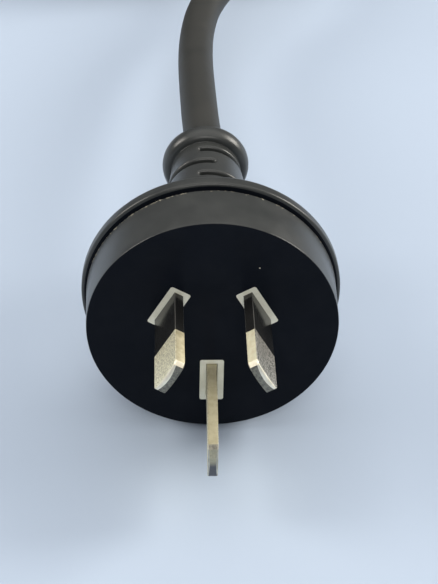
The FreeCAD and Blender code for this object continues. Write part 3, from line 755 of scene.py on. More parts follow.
@dataclass
class PlugMoulding:
    """The overmoulding: face, drum, flange, dome, slotted neck and collar in one skin.

    Of two or more roundings or slants, the one nearest to the face comes first.
    """

    face_radius: float = 19.8
    face_margin: float = 1.0
    face_edge: float = 0.25
    face_reach: float = 0.1
    drum_length: float = 9.5
    drum_flare: float = 0.25
    groove_width: float = 0.55
    groove_depth: float = 0.42
    groove_rounds: Span = (0.32, 0.12)
    groove_slants: Span = (0.06, 0.02)
    # Where the groove's painted shade stops, just ahead of the flange
    groove_painted_shade_end: float = 0.012
    flange_step: float = 0.8
    flange_thickness: float = 2.8
    flange_rounds: Span = (0.5, 1.2)
    dome_step: float = 1.65
    dome_length: float = 4.7
    dome_drop: float = 2.6
    dome_rounds: Span = (0.3, 4.0)
    grip_length: float = 7.0
    grip_round: float = 7.0
    neck_length: float = 22.0
    neck_end_radius: float = 6.1
    neck_flare: float = 2.3
    neck_round: float = 0.15
    collar_length: float = 4.2
    collar_step: float = 1.6
    bead_step: float = 0.7
    bead_lead: float = 1.3
    bead_rounds: tuple[float, float, float] = (1.1, 3.0, 2.0)
    cord_radius: float = 3.5
    cord_hole: float = 2.0
    slot_lead: float = 5.55
    slot_tail: float = 2.5
    slot_width: float = 1.5
    slot_shift: float = -0.1
    slot_floor: float = 4.3
    slot_span: float = 206.0
    slot_end_round: float = 0.65
    slot_lips: Span = (0.30, 0.60)
    slot_wall: float = 0.07
    floor_rows: tuple[float, ...] = (-0.3, -0.15, -0.1)
    wall_rows: tuple[float, ...] = (-1.0, -0.5, 0.0)
    lip_rows: tuple[float, ...] = (0.08, 0.2, 0.4, 0.6, 0.8, 1.0, 1.5)
    long_run: float = 1.0
    fine_angle: float = 0.4
    fine_count: int = 14
    coarse_angle: float = 2.0
    window_gap: float = 0.03
    window_depth: float = 1.6
    sharp: float = 40.0
    slots: tuple[Cut, ...] = (Cut.LEFT, Cut.RIGHT, Cut.LEFT, Cut.RIGHT)

    def __post_init__(self) -> None:
        """Takes the plug's place from the frame and works out where its sections end."""
        low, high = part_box("plug_body")
        self.front = low.y / MM
        self.up = (low.z + high.z) / 2 / MM
        self.flange_back = self.drum_length + self.flange_thickness
        self.dome_back = self.flange_back + self.dome_length
        self.grip_back = self.dome_back + self.grip_length
        self.collar_start = self.grip_back + self.neck_length
        self.length = self.collar_start + self.collar_length
        pitch = (self.neck_length - self.slot_lead - self.slot_tail) / (len(self.slots) - 1)
        self.slot_places = [self.grip_back + self.slot_lead + i * pitch for i in range(len(self.slots))]

    def outline(self) -> list[Place]:
        """The skin's section from the face's rim to the cord's hole.

        Returns:
            Depths and radii.
        """
        rear = self.face_radius + self.drum_flare
        groove = self.drum_length - self.groove_width
        groove_floor = rear - self.groove_depth
        flange = rear + self.flange_step
        root = flange - self.dome_step
        collar = self.neck_end_radius + self.collar_step
        return filleted(
            [
                (0.0, self.face_radius - self.face_margin, 0.0),
                (0.0, self.face_radius, self.face_edge),
                (groove, rear, self.groove_rounds[0]),
                (groove + self.groove_slants[0], groove_floor, self.groove_rounds[1]),
                (self.drum_length - self.groove_slants[1], groove_floor, self.groove_rounds[1]),
                (self.drum_length, flange, self.flange_rounds[0]),
                (self.flange_back, flange, self.flange_rounds[1]),
                (self.flange_back, root, self.dome_rounds[0]),
                (self.dome_back, root - self.dome_drop, self.dome_rounds[1]),
                (self.grip_back, self.neck_end_radius + self.neck_flare, self.grip_round),
                (self.collar_start, self.neck_end_radius, self.neck_round),
                (self.collar_start, collar - self.bead_step, self.bead_rounds[0]),
                (self.collar_start + self.bead_lead, collar, self.bead_rounds[1]),
                (self.length, collar, self.bead_rounds[2]),
                (self.length, self.cord_radius, 0.0),
                (self.length - self.cord_hole, self.cord_radius, 0.0),
            ]
        )

    def rows(self) -> list[Place]:
        """The outline with more rows along the neck, close together at each slot's walls.

        Returns:
            Depths and radii.
        """
        offsets = [0.0]
        for side, lip in zip((-1.0, 1.0), self.slot_lips):
            steps = [*self.floor_rows]
            steps += [self.slot_wall * share for share in self.wall_rows]
            steps += [lip * share for share in self.lip_rows]
            offsets += [side * (self.slot_width / 2 + step) + self.slot_shift for step in steps]
        cuts = sorted(place + offset for place in self.slot_places for offset in offsets)
        rows = []
        outline = self.outline()
        for here, after in zip(outline, outline[1:]):
            rows.append(here)
            run = after[0] - here[0]
            for depth in cuts:
                if run > self.long_run and here[0] < depth < after[0]:
                    share = (depth - here[0]) / run
                    rows.append((depth, here[1] + (after[1] - here[1]) * share))
        rows.append(outline[-1])
        return rows

    def angles(self) -> list[float]:
        """Where the skin's columns stand, close together where the slots end.

        Returns:
            Angles in degrees.
        """
        ends = [cut.value + side * self.slot_span / 2 for cut in Cut for side in (-1, 1)]
        steps = range(-self.fine_count, self.fine_count + 1)
        fine = {round((end + step * self.fine_angle) % 360.0, 3) for end in ends for step in steps}
        coarse = [self.coarse_angle * step for step in range(round(360.0 / self.coarse_angle))]
        kept = [angle for angle in coarse if all(abs(angle - end) > 2 * self.fine_angle for end in fine)]
        return sorted([*fine, *kept])

    def sink(self, depth: float, radius: float, angle: float) -> float:
        """How far the skin is sunk at a place on the neck.

        Args:
            depth: Depth behind the face.
            radius: The neck's radius there.
            angle: The angle round the axis, in degrees.

        Returns:
            The sink in millimetres, none outside the slots.
        """
        half = self.slot_width / 2
        front_lip, rear_lip = self.slot_lips
        round_end = self.slot_end_round
        for place, cut in zip(self.slot_places, self.slots):
            behind = depth - place - self.slot_shift
            if abs(behind) > half + max(self.slot_lips):
                continue
            lip = front_lip + (rear_lip - front_lip) * between(behind, -half, half)
            turn = abs((angle - cut.value + 180.0) % 360.0 - 180.0)
            past_end = radius * math.radians(turn - self.slot_span / 2) + round_end
            past_side = abs(behind) - (half - round_end)
            outside = math.hypot(max(past_end, 0.0), max(past_side, 0.0))
            off_wall = outside + min(max(past_end, past_side), 0.0) - round_end
            if off_wall >= lip:
                continue
            if off_wall > 0.0:
                return lip - math.sqrt(lip**2 - (lip - off_wall) ** 2)
            return lip + (radius - self.slot_floor - lip) * ease(-off_wall / self.slot_wall)
        return 0.0

    def place(self, depth: float, radius: float, angle: float) -> Vector:
        """The point at a depth, a radius and an angle in degrees."""
        turn = math.radians(angle)
        return Vector((radius * math.cos(turn), depth + self.front, radius * math.sin(turn) + self.up))

    def build(self, windows: Sequence[Sequence[Place]]) -> Piece:
        """Makes the skin, with a window in the face for each boss.

        Args:
            windows: Outlines of the bosses in the face, across and up from its middle.

        Returns:
            The piece.
        """
        rows, angles = self.rows(), self.angles()
        skin = bmesh.new()
        grid = []
        for depth, radius in rows:
            ring = []
            for angle in angles:
                on_neck = self.grip_back < depth < self.collar_start
                sunk = radius - (self.sink(depth, radius, angle) if on_neck else 0.0)
                ring.append(skin.verts.new(self.place(depth, sunk, angle) * MM))
            grid.append(ring)
        count = len(angles)
        for (depth, _), near, far in zip(rows, grid, grid[1:]):
            # The face and the groove take the second finish, the darker black that is painted shade
            in_painted_groove_shade = -self.groove_width < depth - self.drum_length < -self.groove_painted_shade_end
            for i in range(count):
                j = (i + 1) % count
                quad = skin.faces.new((near[i], near[j], far[j], far[i]))
                quad.material_index = int(depth < self.face_reach or in_painted_groove_shade)
        skin.faces.new(grid[-1])
        self._face(skin, grid[0], windows)
        bmesh.ops.recalc_face_normals(skin, faces=skin.faces)
        piece = mesh_piece("plug_moulding", skin, [MOULDED_SIDES, SATIN_PAINTED_SHADE], self.sharp)
        return settle(piece, "moulding", "plug_body")

    def _face(
        self,
        skin: bmesh.types.BMesh,
        rim: Sequence[bmesh.types.BMVert],
        windows: Sequence[Sequence[Place]],
    ) -> None:
        """Fills the face between its rim and the windows, and sinks each window's wall.

        Args:
            skin: The skin in the making.
            rim: The first ring of the skin.
            windows: Outlines of the bosses.
        """
        edges = [skin.edges.get((a, b)) for a, b in zip(rim, [*rim[1:], rim[0]])]
        for window in windows:
            mouth, back = (
                [skin.verts.new(Vector((x, depth + self.front, z + self.up)) * MM) for x, z in window]
                for depth in (0.0, self.window_depth)
            )
            for i in range(len(mouth)):
                j = (i + 1) % len(mouth)
                edges.append(skin.edges.new((mouth[i], mouth[j])))
                skin.faces.new((mouth[i], mouth[j], back[j], back[i]))
            skin.faces.new(back)
        filled = bmesh.ops.triangle_fill(skin, use_beauty=True, use_dissolve=False, edges=edges)
        # The face's fill takes the darker black: painted shade
        for part in filled["geom"]:
            if isinstance(part, bmesh.types.BMFace):
                part.material_index = 1


@dataclass
class MouldFlash:
    """Crumbs of moulding flash left on the drum's rear edge, and a speck of lint on the face.

    Each stretch has its first and last angle and its number of crumbs, and each crumb is drawn
    from ranges: its thickness, its length in thicknesses and its place in a band ahead of the groove.
    """

    moulding: PlugMoulding
    stretches: tuple[tuple[float, float, int], ...] = (
        (102.0, 132.0, 60),
        (132.0, 165.0, 24),
        (48.0, 96.0, 20),
        (15.0, 48.0, 8),
    )
    crumb: Span = (0.020, 0.056)
    elongation: Span = (1.0, 7.0)
    band: Span = (0.10, 0.45)
    skew: float = 0.4
    speck: Place = (7.0, 11.65)
    speck_size: Point = (0.16, 0.10, 0.12)
    seed: int = 11

    @staticmethod
    def _lump(lumps: bmesh.types.BMesh, place: Vector, lie: Matrix, size: Point) -> None:
        """Adds one lump, stretched and turned."""
        matrix = Matrix.Translation(place * MM) @ lie @ Matrix.Diagonal((*size, 1.0))
        bmesh.ops.create_icosphere(lumps, subdivisions=1, radius=MM, matrix=matrix)

    def build(self) -> Piece:
        """Makes the crumbs as small lumps, half sunk in the edge.

        Returns:
            The piece.
        """
        draw = random.Random(self.seed)
        lumps = bmesh.new()
        shape = self.moulding
        outline = shape.outline()
        for low, high, count in self.stretches:
            for _ in range(count):
                angle = draw.uniform(low, high)
                reach = draw.uniform(*self.crumb)
                long = draw.uniform(*self.elongation)
                depth = shape.drum_length - shape.groove_width - draw.uniform(*self.band)
                radius = next(r for d, r in outline if d >= depth)
                turn = math.pi / 2 - math.radians(angle) + draw.uniform(-self.skew, self.skew)
                lie = Matrix.Rotation(turn, 4, "Y")
                self._lump(lumps, shape.place(depth, radius, angle), lie, (reach * long, reach, reach))
        middle = Vector((self.speck[0], shape.front, shape.up + self.speck[1]))
        self._lump(lumps, middle, Matrix.Identity(4), self.speck_size)
        # The crumbs' pale colour is a painted highlight
        return settle(mesh_piece("mould_flash", lumps, [FLASH_GLINT_AND_LINT]), "moulding")


@dataclass
class Blade:
    """One blade: its place, lean, length, sideways bend and how far each wide face is coined at the tip.

    Its finishes stand in the order of its kinds of face.
    """

    name: str
    across: float
    up: float
    lean: float
    length: float
    bend: float
    coining: Span
    sleeved: bool
    finishes: tuple[MetalFinish, ...]

    def stand(self, front: float, axis_up: float) -> Matrix:
        """Its place: local x across the thickness, y back from the face, z along the width."""
        turn = Matrix.Rotation(math.radians(self.lean), 4, "Y")
        return Matrix.Translation(Vector((self.across, front, axis_up + self.up))) @ turn


@dataclass
class BladeSet:
    """The three blades and the two sleeves on the live ones.

    Of a sleeve's walls and a boss's sides, the first goes through the thickness and the second along
    the width. Of the tip's drops and rises, the first is at its corners and the second in its middle.
    The crimp has its near and far depth, and its outer and inner radius.
    """

    moulding: PlugMoulding
    width: float = 6.3
    thickness: float = 1.6
    live_circle: float = 7.92
    earth_circle: float = 10.31
    live_spread: float = 60.0
    live_lean: float = 30.0
    live_length: float = 17.65
    earth_length: float = 20.2
    tip_bow: float = 0.62
    tip_corner: float = 0.48
    tip_drop: Span = (0.22, 0.62)
    tip_rise: Span = (0.18, 0.62)
    tip_margin: float = 0.2
    root_step: float = 0.05
    light_coining: float = 0.4
    earth_coining: float = 0.5
    earth_bend: float = -0.33
    tip_steps: int = 8
    edge: float = 0.08
    sharp: float = 24.0
    sleeve_length: float = 9.2
    sleeve_depth: float = 1.5
    sleeve_wall: Span = (0.4, 0.6)
    sleeve_edge: float = 0.18
    sleeve_lip: float = 0.04
    sleeve_corner_steps: int = 4
    inner_corner: float = 0.05
    inner_corner_steps: int = 2
    bridge_back: float = 7.0
    crimp: Span = (8.2, 13.2)
    crimp_radii: Span = (1.25, 0.65)
    crimp_steps: int = 24
    boss_sides: Span = (0.95, 0.7)
    earth_boss_sides: Span = (1.1, 0.9)
    boss_round: float = 0.35
    across_steps: int = 28
    corner_steps: int = 5

    def blades(self) -> list[Blade]:
        """Lays out the blades: neutral on the left, active on the right, earth below.

        Returns:
            The blades.
        """
        spread = math.radians(self.live_spread)
        across, up = self.live_circle * math.sin(spread), self.live_circle * math.cos(spread)
        length, lean, light = self.live_length, self.live_lean, self.light_coining
        # The neutral blade's narrow sides take the darker cut edge, painted shade, and the active blade's the
        # lighter one, painted light
        left_finishes = PLATED_FACE, CUT_EDGE_PAINTED_SHADE, COINED_EDGE, SHEARED_END, COINED_EDGE
        # The active blade's wide faces take a darker copy of the plating: painted shade
        right_finishes = PLATED_FACE_PAINTED_SHADE, CUT_EDGE_PAINTED_LIGHT, COINED_EDGE, SHEARED_END, COINED_EDGE
        below_finishes = PLATED_FACE, EARTH_EDGE, EARTH_COINING, EARTH_END, SHEARED_END
        left = Blade("neutral", -across, up, lean, length, 0.0, (light, 1.0), True, left_finishes)
        right = Blade("active", across, up, -lean, length, 0.0, (1.0, light), True, right_finishes)
        below = Blade(
            "earth",
            0.0,
            -self.earth_circle,
            0.0,
            self.earth_length,
            self.earth_bend,
            (self.earth_coining, self.earth_coining),
            False,
            below_finishes,
        )
        return [left, right, below]

    def windows(self) -> list[list[Place]]:
        """Shapes the bosses in the face, with the moulding's gap round them.

        Returns:
            Their outlines, across and up from the face's middle.
        """
        outlines = []
        gap = self.moulding.window_gap
        for blade in self.blades():
            side, end = self.boss_sides if blade.sleeved else self.earth_boss_sides
            half = self.thickness / 2 + side + gap, self.width / 2 + end + gap
            stand = blade.stand(0.0, 0.0)
            turned = [stand @ Vector((x, 0.0, z)) for x, z in rounded_rectangle(*half, self.boss_round + gap)]
            outlines.append([(p.x, p.z) for p in turned])
        return outlines

    def tip(self, blade: Blade, side: int, across: float, turn: float) -> Place:
        """A place on the tip's rounding, which is broadest in the middle of the blade.

        Args:
            blade: Which blade.
            side: Which of its wide faces, 0 or 1.
            across: Place across the blade.
            turn: How far round, in radians, from the wide face to a quarter turn at the end.

        Returns:
            Half the thickness and the distance ahead of the face.
        """
        half = self.width / 2
        inward = 1.0 - (across / half) ** 2
        drop, rise = (
            blade.coining[side] * (least + (most - least) * inward)
            for least, most in (self.tip_drop, self.tip_rise)
        )
        corner = max(abs(across) - (half - self.tip_corner), 0.0)
        end = blade.length - self.tip_bow * (1.0 - inward) - corner
        return self.thickness / 2 - drop * (1.0 - math.cos(turn)), end - rise * (1.0 - math.sin(turn))

    def section(self, form: Callable[[int, float], Place]) -> list[Point]:
        """One ring of the blade with its long edges eased.

        Args:
            form: Half the thickness and the distance ahead on each wide face at each place across.

        Returns:
            Points across one wide face and back across the other.
        """
        half = self.width / 2
        sides = []
        for side in range(2):
            row = []
            for i in range(self.across_steps + 1):
                place = -math.cos(math.pi * i / self.across_steps) * half
                thick, ahead = form(side, place)
                past = max(abs(place) - (half - self.edge), 0.0)
                eased = self.edge - math.sqrt(max(self.edge**2 - past**2, 0.0))
                row.append((thick - eased, -ahead, place))
            sides.append(row)
        return sides[0] + [(-x, y, z) for x, y, z in reversed(sides[1])]

    def _rings(self, blade: Blade) -> list[list[Point]]:
        """The blade's rings from its root to its end: plain ones, then those of the tip.

        Args:
            blade: Which blade.

        Returns:
            The rings, in the blade's own frame.
        """
        half = self.thickness / 2
        start = self.sleeve_length if blade.sleeved else -self.bridge_back
        shoulder = blade.length - self.tip_bow - self.tip_corner - self.tip_rise[0] - self.tip_margin
        rings = []
        for ahead in (start, start + self.root_step, (start + shoulder) / 2, shoulder):
            rings.append(self.section(lambda _, __, ahead=ahead: (half, ahead)))
        for i in range(self.tip_steps + 1):
            turn = math.pi / 2 * i / self.tip_steps
            rings.append(self.section(lambda side, z, turn=turn: self.tip(blade, side, z, turn)))
        return rings

    @staticmethod
    def _ring(stand: Matrix, ahead: float, half: Place, corner: float, steps: int) -> list[Vector]:
        """A rounded rectangle across a blade, at a distance ahead of the face."""
        return [stand @ Vector((x, -ahead, z)) for x, z in rounded_rectangle(*half, corner, steps)]

    def _outside(self, blade: Blade, stand: Matrix) -> Facets:
        """The part of a blade that is seen, from its root to its tip.

        Args:
            blade: Which blade.
            stand: Its place.

        Returns:
            Its facets, marked by the kind of face.
        """
        rings = [
            [stand @ Vector((x + blade.bend * max(-y, 0.0) / blade.length, y, z)) for x, y, z in ring]
            for ring in self._rings(blade)
        ]
        count = len(rings[0])
        facets = Facets()
        facets.loft(rings)
        coined = count * (len(rings) - self.tip_steps)
        for i in range(len(facets.faces)):
            side = 0 if i % count < self.across_steps else 1
            if i % count in (self.across_steps, count - 1):
                facets.marks[i] = BladeFace.NARROW
            elif i >= coined:
                broad = blade.coining[side] > self.light_coining
                facets.marks[i] = BladeFace.COINING if broad else BladeFace.END
        facets.add(range(count))
        last = (len(rings) - 1) * count
        for i in range(self.across_steps):
            back = count - 1 - i
            at_corner = min(i, self.across_steps - 1 - i) < self.corner_steps
            quad = last + i, last + i + 1, last + back - 1, last + back
            facets.add(quad, BladeFace.CORNER if at_corner else BladeFace.END)
        return facets

    def build_blade(self, blade: Blade) -> Piece:
        """Makes one blade with its root, tail and crimp behind the face.

        Args:
            blade: Which blade.

        Returns:
            The piece.
        """
        stand = blade.stand(self.moulding.front, self.moulding.up)
        facets = self._outside(blade, stand)
        full = self.thickness / 2, self.width / 2
        bars = [((-self.bridge_back, -self.crimp[0]), (full[0], self.crimp_radii[0]))]
        if blade.sleeved:
            thin = full[0] - self.sleeve_wall[0], full[1] - self.sleeve_wall[1]
            bars.append(((self.sleeve_length, -self.sleeve_depth), thin))
            bars.append(((-self.sleeve_depth, -self.bridge_back), full))
        for reach, half in bars:
            corner = self.inner_corner, self.inner_corner_steps
            facets.loft([self._ring(stand, ahead, half, *corner) for ahead in reach], capped=True)
        outer, inner = self.crimp_radii
        near, far = self.crimp
        barrel = (near, outer), (far, outer), (far, inner), (near, inner), (near, outer)
        facets.loft(
            [
                [stand @ Vector((x, depth, z)) for x, z in circle(radius, self.crimp_steps)]
                for depth, radius in barrel
            ]
        )
        piece = make_piece(f"{blade.name}_blade", facets, blade.finishes, self.sharp)
        return settle(piece, "blade", f"{blade.name}_pin")

    def build_sleeve(self, blade: Blade) -> Piece:
        """Makes the insulating sleeve of a live blade, flush with its metal, with painted highlights along
        its corners.

        Args:
            blade: The live blade.

        Returns:
            The piece.
        """
        stand = blade.stand(self.moulding.front, self.moulding.up)
        half = self.thickness / 2, self.width / 2
        inner = half[0] - self.sleeve_wall[0], half[1] - self.sleeve_wall[1]
        end, lip, steps = self.sleeve_length, self.sleeve_lip, self.sleeve_corner_steps
        rows = [
            (-self.sleeve_depth, half, self.sleeve_edge),
            (end - lip, half, self.sleeve_edge),
            (end, (half[0] - lip, half[1] - lip), self.sleeve_edge),
            (end, inner, self.inner_corner),
            (-self.sleeve_depth, inner, self.inner_corner),
            (-self.sleeve_depth, half, self.sleeve_edge),
        ]
        rings = [self._ring(stand, *row, steps) for row in rows]
        facets = Facets()
        facets.loft(rings)
        # The middles of the long corners take the lighter edge finish: painted highlight
        for i in range(len(rings[0])):
            facets.marks[i] = int(i % (steps + 1) in range(1, steps - 1))
        piece = make_piece(f"{blade.name}_insulation", facets, [SLEEVE_BLACK, SLEEVE_EDGE_HIGHLIGHT])
        return settle(piece, "sleeve", f"{blade.name}_sleeve")

    def build(self) -> None:
        """Makes every blade and sleeve, and dresses the bridge that carries them."""
        for blade in self.blades():
            self.build_blade(blade)
            if blade.sleeved:
                self.build_sleeve(blade)
        dress("pin_bridge", CREAM_NYLON)


# The cord and what is on it


@dataclass
class MainsCord:
    """The cord: its free lead, the hank that it is put away in, and the strand to the connector.

    The strand starts a little beside the inner track, behind the near fold and above the groove
    between the tracks, and then lies in that groove over a stretch measured from the near fold.
    """

    length: float = 1800.0
    diameter: float = 7.0
    lead: tuple[Point, ...] = (
        (0.0, 35.2, 20.85),
        (0.0, 39.2, 20.85),
        (-0.55, 48.0, 20.6),
        (-0.85, 62.0, 19.6),
        (-1.0, 77.5, 17.6),
        (-0.45, 92.0, 16.2),
        (1.6, 106.0, 15.7),
        (7.2, 119.0, 16.2),
        (14.6, 131.0, 17.4),
        (18.2, 143.0, 18.5),
        (18.2, 155.0, 18.5),
    )
    across: float = -10.0
    near: float = 176.2
    far: float = 226.8
    fold_radius: float = 21.0
    track_pitch: float = 7.2
    layer_pitch: float = 7.1
    layers: int = 3
    bottom: float = 4.3
    run_inset: float = 12.0
    far_steps: int = 6
    near_steps: int = 10
    climb: Span = (0.08, 0.64)
    shift: Span = (0.26, 0.84)
    drop: Span = (0.46, 0.94)
    groove: Place = (14.6, 24.65)
    strand_start: Point = (1.2, 6.0, 0.75)
    strand_run: Span = (22.0, 40.0)
    end: Point = (-31.0, 219.8, 32.0)
    smoothness: int = 10

    def fold(
        self,
        middle: Place,
        start: float,
        steps: int,
        radius: Callable[[float], float],
        height: Callable[[float], float],
    ) -> list[Point]:
        """Control points of a half turn.

        Args:
            middle: The fold's middle.
            start: The angle where it begins, in radians.
            steps: How many points it has.
            radius: Its radius at each share of the turn.
            height: Its height at each share of the turn.

        Returns:
            The points.
        """
        points = []
        spread = math.cos(math.pi / steps / 2)
        for i in range(steps):
            share = (i + 0.5) / steps
            turn = start + share * math.pi
            reach = radius(share) / spread
            points.append(
                (middle[0] + reach * math.cos(turn), middle[1] + reach * math.sin(turn), height(share))
            )
        return points

    def turn(self, outer: bool, layer: int) -> list[Point]:
        """One turn of the hank, which changes its track or layer at the near end.

        Args:
            outer: Whether it lies in the outer track.
            layer: Its layer, from the bottom.

        Returns:
            The turn's points.
        """
        radius = self.fold_radius + (self.track_pitch if outer else 0.0)
        up = self.bottom + layer * self.layer_pitch
        runs = (self.near + self.run_inset, self.far - self.run_inset)
        points = [(self.across + radius, place, up) for place in runs]
        points += self.fold((self.across, self.far), 0.0, self.far_steps, lambda _: radius, lambda _: up)
        points += [(self.across - radius, place, up) for place in reversed(runs)]
        moves_in = outer and layer == 0

        def reach(share: float) -> float:
            """The near fold's radius, which shrinks where the cord moves to the inner track."""
            return radius - (self.track_pitch * between(share, *self.shift) if moves_in else 0.0)

        def height(share: float) -> float:
            """The near fold's height: the outer track goes down a layer, and the inner one up."""
            change = -between(share, *self.drop) if outer else between(share, *self.climb)
            return up if moves_in else up + self.layer_pitch * change

        return points + self.fold((self.across, self.near), math.pi, self.near_steps, reach, height)

    def route(self) -> list[Point]:
        """Lays out the whole cord, from the collar to the connector.

        Returns:
            Its control points.
        """
        points = list(self.lead)
        for layer in reversed(range(self.layers)):
            points += self.turn(True, layer)
        for layer in range(self.layers):
            points += self.turn(False, layer)
        groove, up = self.groove
        beside, behind, above = self.strand_start
        points.append((self.across + self.fold_radius + beside, self.near + behind, up + above))
        points += [(groove, self.near + place, up) for place in self.strand_run]
        middle = ((groove + self.end[0]) / 2, self.far)
        half = (groove - self.end[0]) / 2
        last = self.far_steps - 1
        points += self.fold(
            middle,
            0.0,
            self.far_steps,
            lambda _: half,
            lambda share: up + (self.end[2] - up) * (share * self.far_steps - 0.5) / last,
        )
        return [*points, self.end]

    def build(self) -> Piece:
        """Makes the cord as one smooth spline.

        Returns:
            The cord.
        """
        curve = bpy.data.curves.new("mains_cord", "CURVE")
        curve.dimensions = "3D"
        spline = curve.splines.new("NURBS")
        route = self.route()
        spline.points.add(len(route) - 1)
        for control, place in zip(spline.points, route):
            control.co = (*(Vector(place) * MM), 1.0)
        spline.order_u = 3
        spline.use_endpoint_u = True
        spline.resolution_u = self.smoothness
        curve.bevel_depth = self.diameter / 2 * MM
        curve.bevel_resolution = self.smoothness
        curve.use_fill_caps = True
        curve.materials.append(material_of(CORD_SHEATH))
        cord = settle(link("mains_cord", curve), "cord", "cord_lead", "cord_hank")
        dress("cord_sheath_end", CORD_SHEATH)
        dress("connector_sheath_end", CORD_SHEATH)
        return cord

    def declare(self) -> None:
        """Works out the lead's first point in metres and keeps nothing.
        """
        tuple(Vector(self.lead[0]) * MM)


@dataclass
class HankTie:
    """A woven strap pulled round one side of the hank, its free end lapped over itself."""

    cord: MainsCord
    thickness: float = 0.8
    edge: float = 0.25
    turn_steps: int = 8
    lap: Span = (5.0, 17.0)
    lap_round: float = 2.0
    lap_round_steps: int = 5
    lap_sunk: float = 0.1
    lap_taper: float = 0.95

    def __post_init__(self) -> None:
        """Takes the strap's width and place from the frame."""
        low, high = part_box("hank_tie")
        self.near, self.far = low.y / MM, high.y / MM

    def centres(self) -> list[Place]:
        """Finds the outermost strands that the strap goes round.

        Returns:
            Their middles, across and up.
        """
        cord = self.cord
        inner = cord.across + cord.fold_radius
        outer = inner + cord.track_pitch
        top = cord.bottom + (cord.layers - 1) * cord.layer_pitch
        return [(outer, cord.bottom), (outer, top), cord.groove, (inner, top), (inner, cord.bottom)]

    def loop(self, reach: float) -> list[Place]:
        """A tight loop round the strands.

        Args:
            reach: Its distance from their middles.

        Returns:
            Its points, across and up.
        """
        centres = self.centres()
        points = []
        for before, here, after in zip([centres[-1], *centres[:-1]], centres, [*centres[1:], centres[0]]):
            turns = []
            for start, end in ((before, here), (here, after)):
                turns.append(math.atan2(end[1] - start[1], end[0] - start[0]) - math.pi / 2)
            swing = (turns[1] - turns[0]) % (2.0 * math.pi)
            for i in range(self.turn_steps + 1):
                turn = turns[0] + swing * i / self.turn_steps
                points.append((here[0] + reach * math.cos(turn), here[1] + reach * math.sin(turn)))
        return points

    def build(self) -> Piece:
        """Makes the strap and its lapped end.

        Returns:
            The piece.
        """
        edge, inside = self.edge, self.cord.diameter / 2
        outside = inside + self.thickness
        rows = [
            (inside, self.near + edge),
            (inside + edge, self.near),
            (outside - edge, self.near),
            (outside, self.near + edge),
            (outside, self.far - edge),
            (outside - edge, self.far),
            (inside + edge, self.far),
            (inside, self.far - edge),
            (inside, self.near + edge),
        ]
        facets = Facets()
        facets.loft([[(x, along, z) for x, z in self.loop(reach)] for reach, along in rows])
        against = self.centres()[0][0] + outside
        middle = (self.near + self.far) / 2, (self.lap[0] + self.lap[1]) / 2
        half = (self.far - self.near) / 2, (self.lap[1] - self.lap[0]) / 2
        shape = rounded_rectangle(*half, self.lap_round, self.lap_round_steps)
        layers = (-self.lap_sunk, 1.0), (self.thickness - edge, 1.0), (self.thickness, self.lap_taper)
        facets.loft(
            [
                [(against + off, middle[0] + along * drawn, middle[1] + up * drawn) for along, up in shape]
                for off, drawn in layers
            ],
            capped=True,
        )
        return settle(make_piece("strap_tie", facets, [STRAP]), "tie", "hank_tie")


